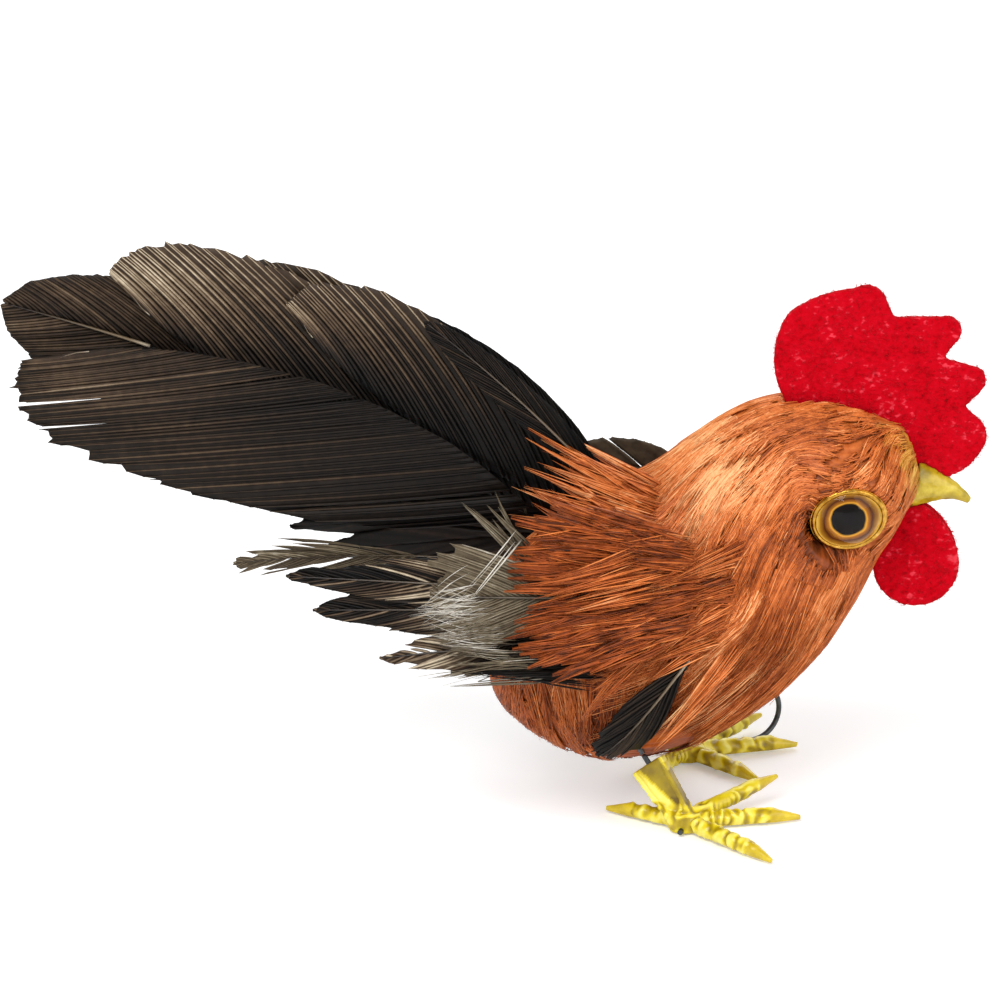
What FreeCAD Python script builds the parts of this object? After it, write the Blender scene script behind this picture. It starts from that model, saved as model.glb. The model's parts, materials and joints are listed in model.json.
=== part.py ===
"""A feathered rooster ornament: a foam body under feathers, on wired plastic feet.

Millimetres. +X is forward (the beak), +Y is the bird's left, +Z is up.
The origin is on the ground, midway between the two heels.
"""
import FreeCAD, Part
import math
import os

V = FreeCAD.Vector

# ---- foam body, along a spine that rises from the rump to the head ----
BODY_LENGTH = 54.0       # rump to face
BODY_WIDTH = 30.0        # over the plumage, at the thickest station
BODY_DEPTH = 33.6        # across the spine, at the thickest station
RUMP_X = -26.6           # where the rump ends
RUMP_Z = 19.0            # height of the spine at the rump
SPINE_RISE = 25.2        # from the rump to the head
PLUMAGE = 1.4            # fibre and feather glued over the foam
# stations: share of the length, share of the rise, share of the girth, lean of the section
STATIONS = (
    (0.00, 0.00, 0.22, 8),
    (0.04, 0.02, 0.52, 10),
    (0.14, 0.05, 0.82, 13),
    (0.27, 0.12, 0.99, 18),
    (0.42, 0.27, 1.02, 27),
    (0.56, 0.48, 0.96, 37),
    (0.67, 0.75, 0.87, 45),
    (0.77, 0.96, 0.74, 38),
    (0.87, 1.00, 0.60, 18),
    (0.95, 0.99, 0.43, 0),
    (1.00, 0.96, 0.18, -8),
)
NECK_STATION = 5         # the neck plumage starts here
HEAD_STATION = 8         # the middle of the head

# ---- eyes ----
EYE_DIAMETER = 9.8
EYE_BACK = 3.0           # the eye sits this far behind the middle of the head
EYE_UP = 0.8             # and this far above it
EYE_DOWN = 19.0          # degrees below level
EYE_FORWARD = 6.0        # degrees ahead of square
EYE_PROUD = 0.35         # rim above the plumage
CUP_WALL = 0.55
CUP_DEPTH = 2.6
IRIS_THICK = 0.5
LENS_RISE = 2.3          # dome above the rim
STEM_DIAMETER = 2.0
STEM_LENGTH = 2.4

# ---- beak ----
BEAK_LENGTH = 7.0
BEAK_HEIGHT = 6.2
BEAK_WIDTH = 5.2
BEAK_DROP = 2.4          # the tip sits this far below the root
BEAK_FROM_LEVEL = -0.24  # fall of the line from the head's middle to the beak's root
BEAK_PEG = 2.2
BEAK_PEG_LENGTH = 5.0    # behind the root
BEAK_PEG_AHEAD = 1.5     # and ahead of it, inside the beak
BEAK_PEG_FALL = 0.05     # slope of the peg
# along the beak: share of the length, share of the drop, lean, share of the height and width
BEAK_STATIONS = (
    (-0.43, -0.25, 0, 1.15, 1.15),
    (0.00, 0.00, -8, 1.00, 1.00),
    (0.45, 0.22, -16, 0.62, 0.62),
    (1.00, 1.00, -34, 0.16, 0.14),
)

# ---- felt ----
FELT = 1.4               # comb
WATTLE_FELT = 1.1
WATTLE_LENGTH = 13.4
WATTLE_WIDTH = 11.0
WATTLE_TOP = 2.4         # width where it hangs
WATTLE_SPLAY = 7.0       # degrees each wattle hangs outward
WATTLE_LEAN = 5.0        # degrees it leans back
WATTLE_FROM_LEVEL = -0.72  # fall of the line from the head's middle to the wattles' root
WATTLE_STANDOFF = 0.5    # ahead of the plumage
WATTLE_APART = 0.1       # between the two
# the comb's edge from its back round to its front, measured from the crown: each
# entry goes on from the last point, through one point and to the next, or straight
COMB_START = (-8.6, -1.0)
COMB_EDGE = (
    ((-11.2, 6.4), (-9.4, 12.2)),
    ((-5.0, 14.6), (-1.2, 15.4)),
    ((1.6, 15.6), (3.0, 13.6)),
    (None, (3.9, 11.6)),
    (None, (10.0, 11.7)),
    ((12.4, 10.2), (11.5, 8.2)),
    (None, (10.2, 6.2)),
    (None, (13.9, 5.1)),
    ((15.6, 3.7), (15.2, 2.1)),
    (None, (13.0, -0.2)),
    (None, (14.9, -2.0)),
    ((15.9, -4.0), (15.3, -6.0)),
    ((13.2, -8.5), (10.4, -9.8)),
)
COMB_BASE = ((8.2, -10.6), (5.2, -6.4), (0.5, -3.6), (-4.8, -3.4))

# ---- fits ----
GLUE_GAP = 0.05          # all round a glued or seated piece
WIRE_CLEARANCE = 0.04    # all round a wire that turns
LAYER_GAP = 0.06         # between feathers that lie on each other

# ---- feathers ----
VANE = 0.5               # thickness of a vane
QUILL = 1.1              # diameter at the root
QUILL_TIP = 0.4
QUILL_DEPTH = 5.5        # pushed into the foam
TAIL_PITCH = 0.95        # sideways step from one tail feather to the next
TAIL_SPREAD = 0.8        # degrees of splay for each step
# tail feathers: root as a share of the rump's back, degrees up, length, width, sideways step
TAIL = (
    ("tail_feather_1", 0.00, 46.0, 35.0, 4.5, -3.5),
    ("tail_feather_2", 0.14, 42.5, 38.0, 12.0, 2.5),
    ("tail_feather_3", 0.26, 38.5, 47.5, 13.0, -1.5),
    ("tail_feather_4", 0.38, 34.5, 55.0, 13.5, 3.5),
    ("tail_feather_5", 0.50, 31.5, 67.0, 16.0, -0.5),
    ("tail_feather_6", 0.62, 22.5, 77.0, 19.0, 0.5),
    ("tail_feather_7", 0.74, 17.5, 71.0, 18.0, -2.5),
    ("tail_feather_8", 0.86, 11.0, 55.0, 11.0, 1.5),
    ("tail_wisp", 1.00, 2.0, 38.0, 4.0, -4.5),
)
TAIL_ROOT_FRONT = -11.0  # where the first quill enters the back
TAIL_ROOT_REAR = -22.0   # where the last one does

# ---- wings: curved sheets that lean on the body's sides ----
WING_LEAN = 14.0         # degrees
WING_AXIS_Z = 25.0       # the lean turns about this height
WING_STANDOFF = 0.10
WING_APEX = -8.0         # where the wing is widest
WING_TAIL_IN = 8.0       # the wing's far end is this much nearer the middle
WING_REACH = 57.0        # where that is measured, behind the origin
WING_FRONT = 10.0        # where the sheet's front edge is
WING_FRONT_IN = 1.6      # and how much nearer the middle it is
SIDE_REACH = 80.0        # a length past everything, for prisms that cut
SHOULDER_THICK = 1.0
# wing feathers: root x, root height, degrees up, length, width; layer outward; thickness
WING = (
    ("primary_1", (-2.0, 25.4, -7.0, 39.5, 9.5), 0, VANE),
    ("primary_2", (-2.0, 27.4, -1.0, 47.5, 8.5), 1, VANE),
    ("primary_3", (-2.0, 29.0, 2.0, 51.0, 8.5), 2, VANE),
    ("covert_feather", (-8.5, 29.0, 0.0, 26.0, 18.0), 3, VANE),
    ("shoulder_plumage", (3.5, 31.0, -3.0, 27.0, 17.0), 4, SHOULDER_THICK),
)
FLANK = (-1.0, 26.0, -50.0, 21.0, 9.0)
FLANK_THICK = 0.6

# ---- legs and feet ----
LEG_X = -7.0             # where the leg wires leave the belly
LEG_Y = 9.0
WIRE = 0.7
WIRE_OFF_GROUND = 0.1    # under a wire that runs along the ground
WIRE_IN_FOAM = 12.0
PIVOT_DROP = 0.95        # the wire bends this far below the plumage
STRAP_START = 1.0        # the moulded leg starts this far below the bend
STRAP_TOP = 4.6
STRAP_BOTTOM = 3.2
STRAP_THICK = 2.0
STRAP_RIM = 0.55
STRAP_CHANNEL = 0.75
TOE = 2.3                # diameter at the root
TOE_TIP = 1.9            # and where the claw starts
CLAW = 3.4               # length of the claw
CLAW_TIP = 0.7           # diameter of its tip
HEEL_DIAMETER = 4.2
HEEL_HEIGHT = 2.3
# toes: turn from straight ahead, length with the claw, height of the tip
RIGHT_HEEL = (-1.9, -12.0)
RIGHT_TOES = ((-48.0, 16.0, 0.0), (10.0, 15.2, 0.0), (36.0, 15.0, 3.2), (150.0, 11.5, 0.0))
LEFT_HEEL = (-1.0, 12.0)
LEFT_TOES = ((48.0, 15.0, 1.2), (14.0, 15.0, 0.0), (-45.0, 13.0, 0.0), (-125.0, 10.0, 0.0))
STUB = 2.6               # cut wire end beside the right heel
TIE_TURN = 31.0          # the left foot's tie wire runs out between two toes
TIE_START = 6.2          # from the heel to where it bends
TIE_RUN = 4.2            # straight part on the ground
TIE_HOOK = 3.8           # radius of the hook at its end
TIE_HOOK_TURN = 130.0    # degrees


def unit(vector):
    """A copy of the vector, one long."""
    return V(vector).normalize()


def solid_of(shape):
    """The single solid in a shape that should hold just one: the largest."""
    return max(shape.Solids, key=lambda one: one.Volume)


def rod(start, end, radius):
    """A cylinder from start to end."""
    return Part.makeCylinder(radius, (end - start).Length, start, end - start)


def taper(start, end, radius_start, radius_end):
    """A cone from start to end."""
    return Part.makeCone(radius_start, radius_end, (end - start).Length, start, end - start)


def mirrored(shape):
    """The same shape on the bird's other side."""
    return shape.mirror(V(0, 0, 0), V(0, 1, 0))


# ---------------------------------------------------------------- body


def spine(index):
    """Where a station's centre is."""
    along, up, _, _ = STATIONS[index]
    return V(RUMP_X + along * BODY_LENGTH, 0, RUMP_Z + up * SPINE_RISE)


def station_wire(index, inset):
    """The ellipse of one station, drawn in by the inset."""
    _, _, girth, lean = STATIONS[index]
    tilt = math.radians(lean)
    forward = V(math.cos(tilt), 0, math.sin(tilt))
    end = {0: 1, len(STATIONS) - 1: -1}.get(index, 0)
    centre = spine(index) + forward * (inset * end)
    deep = max(girth * BODY_DEPTH / 2 - inset, 0.6)
    wide = max(girth * BODY_WIDTH / 2 - inset, 0.5)
    long_way = V(-math.sin(tilt), 0, math.cos(tilt)) if deep >= wide else V(0, 1, 0)
    edge = Part.Ellipse(V(0, 0, 0), max(deep, wide), min(deep, wide)).toShape()
    placing = FreeCAD.Placement(centre, FreeCAD.Rotation(long_way, V(0, 1, 0), forward, "ZXY"))
    edge.Placement = placing
    return Part.Wire([edge])


def body_solid(inset):
    """The whole body's outline, drawn in by the inset."""
    wires = [station_wire(index, inset) for index in range(len(STATIONS))]
    return Part.makeLoft(wires, True, False)


def surface_point(body, start, direction):
    """Where a line from inside the body comes out of it."""
    line = Part.LineSegment(start, start + unit(direction) * 100).toShape()
    inside = line.common(body)
    points = [vertex.Point for vertex in inside.Vertexes]
    return max(points, key=lambda point: (point - start).Length)


def side_prism(points, half=60.0):
    """A prism through the whole bird, from an outline seen from its side."""
    corners = [V(point.x, -half, point.z) for point in points]
    wire = Part.makePolygon(corners + corners[:1])
    return Part.Face(wire).extrude(V(0, 2 * half, 0))


def plumage_regions():
    """The outlines, seen from the side, that divide the plumage."""
    neck = spine(NECK_STATION)
    lean = math.radians(STATIONS[NECK_STATION][3] + 4)
    up = V(-math.sin(lean), 0, math.cos(lean))
    far = 80.0
    above = neck + up * far
    below = neck - up * far
    waist = spine(3)
    rump = spine(0) - V(far, 0, 0)
    under = V(waist.x - 2, 0, waist.z - far)
    front = V(far, 0, 0)
    return {
        "neck_plumage": [above, above + front, below + front, below],
        "saddle_plumage": [rump, rump + V(0, 0, 2 * far), above, neck, waist],
        "breast_plumage": [neck, below, under, waist],
        "vent_plumage": [rump, waist, under, V(rump.x, 0, under.z)],
    }


def plumage(outer, core):
    """The glued plumage, in its four fields."""
    skin = outer.cut(core)
    return {
        name: solid_of(skin.common(side_prism(outline)))
        for name, outline in plumage_regions().items()
    }


# ---------------------------------------------------------------- feathers


def leaf_edge(length, width, side):
    """One edge of a vane, from its base to its tip."""
    shares = ((0.10, 0.16), (0.28, 0.72), (0.52, 1.0), (0.76, 0.94), (0.92, 0.62))
    points = [V(length * along, side * width / 2 * across, 0) for along, across in shares]
    curve = Part.BSplineCurve()
    curve.interpolate(points + [V(length, 0, 0)])
    return curve.toShape()


def leaf_face(length, width):
    """A vane's outline, flat, with its quill along X."""
    left = leaf_edge(length, width, 1)
    right = leaf_edge(length, width, -1)
    base = Part.LineSegment(right.Vertexes[0].Point, left.Vertexes[0].Point).toShape()
    wire = Part.Wire(Part.__sortEdges__([left, right, base]))
    return Part.Face(wire)


def tail_feather(root, rise, splay, length, width):
    """A flat vane that stands on edge, with its quill, from where it enters the foam."""
    vane = leaf_face(length, width).extrude(V(0, 0, VANE))
    vane.translate(V(0, 0, -VANE / 2))
    quill = taper(V(-QUILL_DEPTH, 0, 0), V(0.9 * length, 0, 0), QUILL / 2, QUILL_TIP / 2)
    feather = solid_of(vane.fuse(quill))
    feather.rotate(V(0, 0, 0), V(1, 0, 0), 90)
    feather.rotate(V(0, 0, 0), V(0, 1, 0), rise - 180)
    feather.rotate(V(0, 0, 0), V(0, 0, 1), splay)
    feather.translate(root)
    return feather


def tail_feathers(outer):
    """All the tail feathers, by name, each rooted on the back."""
    feathers = {}
    for name, share, rise, length, width, step in TAIL:
        x = TAIL_ROOT_FRONT + share * (TAIL_ROOT_REAR - TAIL_ROOT_FRONT)
        y = step * TAIL_PITCH
        root = surface_point(outer, V(x, y, RUMP_Z), V(0, 0, 1))
        feathers[name] = tail_feather(root, rise, -step * TAIL_SPREAD, length, width)
    return feathers


def wing_arc(base):
    """The curve, seen from above, of a wing sheet that stands this far out."""
    front = V(WING_FRONT, -(base - WING_FRONT_IN), 0)
    middle = V(WING_APEX, -base, 0)
    back = V(-WING_REACH, -(base - WING_TAIL_IN), 0)
    return Part.Arc(front, middle, back)


def wing_base(outer):
    """How far out the leaned wing's inner face stands, so that it rests on the body's side."""
    lean = math.radians(WING_LEAN)
    circle = wing_arc(0).toShape().Curve
    needed = []
    for point in outer.tessellate(0.05)[0]:
        above = point.z - WING_AXIS_Z
        out = above * math.sin(lean) - point.y * math.cos(lean)
        height = above * math.cos(lean) + point.y * math.sin(lean) + WING_AXIS_Z
        bow = circle.Center.y - math.sqrt(circle.Radius ** 2 - (point.x - circle.Center.x) ** 2)
        for _, (root, middle, _, length, width), layer, _ in WING:
            if root - length < point.x < root and abs(height - middle) < width / 2:
                needed.append(out + bow - layer * (VANE + LAYER_GAP))
    return max(needed) + WING_STANDOFF


def wing_sheet(base, inner, outer):
    """A curved upright sheet beside the body, between two distances from the wing's base."""
    near = wing_arc(base + inner).toShape()
    far = wing_arc(base + outer).toShape()
    front = Part.LineSegment(near.Vertexes[0].Point, far.Vertexes[0].Point).toShape()
    back = Part.LineSegment(near.Vertexes[1].Point, far.Vertexes[1].Point).toShape()
    wire = Part.Wire(Part.__sortEdges__([near, far, front, back]))
    return Part.Face(wire).extrude(V(0, 0, SIDE_REACH))


def leaf_prism(x, height, rise, length, width):
    """A prism on the bird's right, with a vane's outline seen from the side, pointing back."""
    prism = leaf_face(length, width).extrude(V(0, 0, SIDE_REACH))
    prism.rotate(V(0, 0, 0), V(1, 0, 0), 90)
    prism.rotate(V(0, 0, 0), V(0, 1, 0), rise - 180)
    middle = (prism.BoundBox.YMin + prism.BoundBox.YMax) / 2
    prism.translate(V(x, -SIDE_REACH / 2 - middle, height))
    return prism


def wing_piece(base, outline, layer, thick):
    """A leaf cut from one layer of the wing, and leaned on the body."""
    inner = layer * (VANE + LAYER_GAP)
    piece = solid_of(wing_sheet(base, inner, inner + thick).common(leaf_prism(*outline)))
    piece.rotate(V(0, 0, WING_AXIS_Z), V(1, 0, 0), -WING_LEAN)
    return piece


def right_wing(outer):
    """The right wing's feathers, by name."""
    base = wing_base(outer)
    return {name: wing_piece(base, outline, layer, thick) for name, outline, layer, thick in WING}


def flank_feather():
    """The dark feather glued on the right flank, below the shoulder."""
    layer = body_solid(-FLANK_THICK - LAYER_GAP).cut(body_solid(-LAYER_GAP))
    return solid_of(layer.common(leaf_prism(*FLANK)))


# ---------------------------------------------------------------- head


def eye_axis():
    """The way the right eye looks."""
    down = math.radians(EYE_DOWN)
    ahead = math.radians(EYE_FORWARD)
    level = math.cos(down)
    return V(math.sin(ahead) * level, -math.cos(ahead) * level, -math.sin(down))


def right_eye(outer):
    """The right eye's gilt cup, painted iris and clear dome, and the socket that takes them."""
    way = eye_axis()
    middle = spine(HEAD_STATION) + V(-EYE_BACK, 0, EYE_UP)
    rim = surface_point(outer, middle, way) + way * EYE_PROUD
    floor = rim - way * CUP_DEPTH
    radius = EYE_DIAMETER / 2
    inside = radius - CUP_WALL
    seat = floor + way * CUP_WALL
    stem_end = floor - way * STEM_LENGTH
    cup = rod(floor, rim, radius).cut(rod(seat, rim + way, inside))
    cup = solid_of(cup.fuse(rod(stem_end, seat, STEM_DIAMETER / 2)))
    iris = rod(seat, seat + way * IRIS_THICK, inside - GLUE_GAP)
    base = seat + way * IRIS_THICK
    height = CUP_DEPTH - CUP_WALL - IRIS_THICK + LENS_RISE
    half = inside - GLUE_GAP
    ball_radius = (half ** 2 + LENS_RISE ** 2) / (2 * LENS_RISE)
    ball = Part.makeSphere(ball_radius, rim + way * (LENS_RISE - ball_radius))
    lens = solid_of(rod(base, base + way * height, half).common(ball))
    socket = rod(floor - way * GLUE_GAP, rim + way * 3, radius + GLUE_GAP)
    stem_hole = rod(stem_end - way * GLUE_GAP, floor, STEM_DIAMETER / 2 + GLUE_GAP)
    pieces = {"eye_cup": cup, "eye_iris": iris, "eye_lens": lens}
    return pieces, socket.fuse(stem_hole)


def ellipse_at(centre, lean, height, width):
    """An upright ellipse across the beak."""
    tilt = math.radians(lean)
    forward = V(math.cos(tilt), 0, math.sin(tilt))
    edge = Part.Ellipse(V(0, 0, 0), height / 2, width / 2).toShape()
    up = V(-math.sin(tilt), 0, math.cos(tilt))
    edge.Placement = FreeCAD.Placement(centre, FreeCAD.Rotation(up, V(0, 1, 0), forward, "ZXY"))
    return Part.Wire([edge])


def beak_and_hole(outer):
    """The beak with its peg, and the hole for the peg."""
    root = surface_point(outer, spine(HEAD_STATION), V(1, 0, BEAK_FROM_LEVEL))
    wires = []
    for along, down, lean, high, wide in BEAK_STATIONS:
        centre = root + V(BEAK_LENGTH * along, 0, -BEAK_DROP * down)
        wires.append(ellipse_at(centre, lean, BEAK_HEIGHT * high, BEAK_WIDTH * wide))
    cone = solid_of(Part.makeLoft(wires, True, False).cut(body_solid(-GLUE_GAP)))
    way = unit(V(1, 0, -BEAK_PEG_FALL))
    peg_end = root - way * BEAK_PEG_LENGTH
    peg = rod(peg_end, root + way * BEAK_PEG_AHEAD, BEAK_PEG / 2)
    hole = rod(peg_end - way * GLUE_GAP, root + way * BEAK_LENGTH, BEAK_PEG / 2 + GLUE_GAP)
    return solid_of(cone.fuse(peg)), hole


def comb(crown):
    """The felt comb, from where it stands on the crown."""
    here = V(COMB_START[0], 0, COMB_START[1])
    edges = []
    for through, end in COMB_EDGE:
        there = V(end[0], 0, end[1])
        if through:
            edges.append(Part.Arc(here, V(through[0], 0, through[1]), there).toShape())
        else:
            edges.append(Part.LineSegment(here, there).toShape())
        here = there
    for x, z in COMB_BASE + (COMB_START,):
        edges.append(Part.LineSegment(here, V(x, 0, z)).toShape())
        here = V(x, 0, z)
    sheet = Part.Face(Part.Wire(edges)).extrude(V(0, FELT, 0))
    sheet.translate(V(crown.x, -FELT / 2, crown.z))
    return sheet


def right_wattle(beak_root):
    """The right wattle: a felt drop that hangs from under the beak."""
    half = WATTLE_WIDTH / 2
    top = WATTLE_TOP / 2
    low = WATTLE_LENGTH - half
    edges = [
        Part.Arc(V(-top, 0, 0), V(-half * 0.78, 0, -low * 0.45), V(-half, 0, -low)).toShape(),
        Part.Arc(V(-half, 0, -low), V(0, 0, -WATTLE_LENGTH), V(half, 0, -low)).toShape(),
        Part.Arc(V(half, 0, -low), V(half * 0.78, 0, -low * 0.45), V(top, 0, 0)).toShape(),
        Part.LineSegment(V(top, 0, 0), V(-top, 0, 0)).toShape(),
    ]
    drop = Part.Face(Part.Wire(Part.__sortEdges__(edges))).extrude(V(0, -WATTLE_FELT, 0))
    drop.rotate(V(0, 0, 0), V(0, 1, 0), -WATTLE_LEAN)
    drop.rotate(V(0, 0, 0), V(1, 0, 0), -WATTLE_SPLAY)
    drop.translate(beak_root)
    return drop


# ---------------------------------------------------------------- legs and feet


def leg_ways(pivot, heel, outward):
    """Down the leg, and across and out of the moulded channel."""
    down = unit(heel - pivot)
    out = V(-0.15, outward, 0)
    out = unit(out - down * out.dot(down))
    across = down.cross(out)
    return down, across, out


def leg_slab(start, end, across, out, wide_start, wide_end, low, high):
    """A tapering slab down the leg, between two heights across its thickness."""
    wires = []
    for point, wide in ((start, wide_start), (end, wide_end)):
        corners = [
            point + across * (wide / 2) + out * low,
            point - across * (wide / 2) + out * low,
            point - across * (wide / 2) + out * high,
            point + across * (wide / 2) + out * high,
        ]
        wires.append(Part.makePolygon(corners + corners[:1]))
    return Part.makeLoft(wires, True, True)


def moulded_leg(pivot, heel, outward):
    """The flat moulded leg: a web round the wire, with a channel between two rims outside."""
    down, across, out = leg_ways(pivot, heel, outward)
    start = pivot + down * STRAP_START
    web = STRAP_THICK - STRAP_CHANNEL
    slab = leg_slab(start, heel, across, out, STRAP_TOP, STRAP_BOTTOM, -web / 2, STRAP_THICK - web / 2)
    channel = leg_slab(
        start - down, heel - down * 1.2, across, out,
        STRAP_TOP - 2 * STRAP_RIM, STRAP_BOTTOM - 2 * STRAP_RIM, web / 2, STRAP_THICK * 2,
    )
    return slab.cut(channel)


def toe(heel, turn, length, lift):
    """One toe with its claw, out from the heel along the ground."""
    radius = TOE / 2
    angle = math.radians(turn)
    start = V(heel.x, heel.y, radius)
    way = V(math.cos(angle), math.sin(angle), 0)
    end_radius = TOE_TIP / 2
    end = start + way * (length - CLAW) + V(0, 0, lift * 0.7 + end_radius - radius)
    tip = start + way * length + V(0, 0, lift - radius + CLAW_TIP * 0.65)
    claw = taper(end, tip, end_radius, CLAW_TIP / 2)
    return taper(start, end, radius, end_radius).fuse([Part.makeSphere(end_radius, end), claw])


def heel_point(heel):
    """The middle of the heel, above the ground."""
    return V(heel[0], heel[1], HEEL_HEIGHT / 2)


def foot(pivot, heel, outward, toes):
    """A moulded leg and its foot in one, flat underneath."""
    centre = heel_point(heel)
    hub = Part.makeCylinder(HEEL_DIAMETER / 2, HEEL_HEIGHT, V(heel[0], heel[1], 0))
    shape = moulded_leg(pivot, centre, outward).fuse([hub] + [toe(centre, *one) for one in toes])
    ground = Part.makeBox(200, 200, 60, V(-100, -100, -60))
    return solid_of(shape.cut(ground))


def leg_pivot(outer, y):
    """Where the leg wire bends, just below the plumage."""
    line = Part.LineSegment(V(LEG_X, y, -50), V(LEG_X, y, spine(3).z)).toShape()
    points = [vertex.Point for vertex in line.common(outer).Vertexes]
    skin = min(points, key=lambda point: point.z)
    return skin - V(0, 0, PIVOT_DROP)


def root_wire(pivot, down):
    """The glued-in end of a leg wire, which turns in its hole in the foam."""
    gap = WIRE / 2 + WIRE_CLEARANCE
    return rod(pivot - down * (gap + WIRE_IN_FOAM), pivot - down * gap, WIRE / 2)


def root_bore(pivot, down):
    """The hole for it."""
    return rod(pivot - down * (WIRE_IN_FOAM + 2), pivot + down, WIRE / 2 + WIRE_CLEARANCE)


def bent_wire(points, ball_at_start):
    """A wire along straight runs, round at its bends and where it turns."""
    radius = WIRE / 2
    runs = [rod(one, two, radius) for one, two in zip(points, points[1:])]
    balls = [Part.makeSphere(radius, point) for point in points[1:-1]]
    if ball_at_start:
        balls.append(Part.makeSphere(radius, points[0]))
    return solid_of(runs[0].fuse(runs[1:] + balls))


def tie_way():
    """The way the left tie wire runs along the ground."""
    turn = math.radians(TIE_TURN)
    return V(math.cos(turn), math.sin(turn), 0)


def tie_pivot():
    """Where the left tie wire bends, between two toes."""
    lift = WIRE / 2 + WIRE_OFF_GROUND
    return V(LEFT_HEEL[0], LEFT_HEEL[1], lift) + tie_way() * TIE_START


def tie_wire():
    """The free wire in front of the left foot: a run on the ground, then a hook."""
    way = tie_way()
    start = tie_pivot()
    corner = start + way * TIE_RUN
    centre = corner + V(0, 0, TIE_HOOK)
    through, end = [
        centre + way * (TIE_HOOK * math.sin(angle)) - V(0, 0, TIE_HOOK * math.cos(angle))
        for angle in (math.radians(TIE_HOOK_TURN / 2), math.radians(TIE_HOOK_TURN))
    ]
    run = Part.LineSegment(start, corner).toShape()
    hook = Part.Arc(corner, through, end).toShape()
    path = Part.Wire([run, hook])
    ring = Part.Wire([Part.Circle(start, way, WIRE / 2).toShape()])
    wire = path.makePipeShell([ring], True, False)
    return solid_of(wire.fuse(Part.makeSphere(WIRE / 2, start)))


# ---------------------------------------------------------------- the whole bird


def legs(outer):
    """Both legs: pieces by name, and the bores for their wires."""
    pieces = {}
    bores = []
    for side, heel, toes, outward in (
        ("right", RIGHT_HEEL, RIGHT_TOES, -1),
        ("left", LEFT_HEEL, LEFT_TOES, 1),
    ):
        pivot = leg_pivot(outer, outward * LEG_Y)
        centre = heel_point(heel)
        down = unit(centre - pivot)
        low = V(centre.x, centre.y, WIRE / 2 + WIRE_OFF_GROUND)
        if side == "right":
            end = low + V(-0.25, -1, 0) * STUB
        else:
            gap = WIRE / 2 + WIRE_CLEARANCE
            end = tie_pivot() - tie_way() * gap
        wire = bent_wire([pivot, centre, low, end], True)
        moulding = foot(pivot, heel, outward, toes)
        pieces[side + "_wire_root"] = root_wire(pivot, down)
        pieces[side + "_leg_wire"] = wire
        pieces[side + "_foot"] = solid_of(moulding.cut(wire))
        bores.append(root_bore(pivot, down))
        print(side, "bend at", [round(value, 4) for value in pivot], "down", [round(v, 5) for v in down])
    pieces["left_tie_wire"] = tie_wire()
    print("tie bend at", [round(value, 4) for value in tie_pivot()])
    return pieces, bores


def head(outer):
    """Everything on the head, by name, and the holes that take it."""
    pieces = {}
    eye_pieces, socket = right_eye(outer)
    for name, shape in eye_pieces.items():
        pieces["right_" + name] = shape
        pieces["left_" + name] = mirrored(shape)
    beak, hole = beak_and_hole(outer)
    pieces["beak"] = beak
    crown = surface_point(outer, spine(HEAD_STATION), V(0, 0, 1))
    pieces["comb"] = solid_of(comb(crown).cut(beak))
    chin = surface_point(outer, spine(HEAD_STATION), V(1, 0, WATTLE_FROM_LEVEL))
    root = chin + V(WATTLE_STANDOFF, -WATTLE_APART / 2, 0)
    wattle = right_wattle(root).cut(body_solid(-GLUE_GAP)).cut(beak)
    pieces["right_wattle"] = solid_of(wattle)
    pieces["left_wattle"] = mirrored(pieces["right_wattle"])
    return pieces, [socket, mirrored(socket), hole, pieces["comb"]]


def whole_bird():
    """Every piece of the ornament, by node name."""
    outer = body_solid(0)
    core = body_solid(PLUMAGE)
    leg_pieces, bores = legs(outer)
    head_pieces, sockets = head(outer)
    tail = tail_feathers(outer)
    holes = Part.makeCompound(bores + sockets + list(tail.values()))
    pieces = {"foam_core": core}
    pieces.update(plumage(outer, core))
    for name in pieces:
        pieces[name] = solid_of(pieces[name].cut(holes))
    for name, shape in right_wing(outer).items():
        pieces["right_" + name] = shape
        pieces["left_" + name] = mirrored(shape)
    flank = flank_feather()
    pieces["right_flank_feather"] = flank
    pieces["left_flank_feather"] = mirrored(flank)
    pieces.update(tail)
    pieces.update(head_pieces)
    pieces.update(leg_pieces)
    return pieces


os.makedirs("parts", exist_ok=True)
for node, shape in whole_bird().items():
    shape.exportStep("parts/" + node + ".step")
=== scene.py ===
"""The looks of a small feathered rooster ornament: plumage, feathers, felt, eyes and wired feet.

Laid out as a Blender add-on and run as a script. Metres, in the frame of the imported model.
"""
import json
import math

import bpy
import numpy as np
from mathutils import Matrix, Vector
from mathutils.bvhtree import BVHTree


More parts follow.
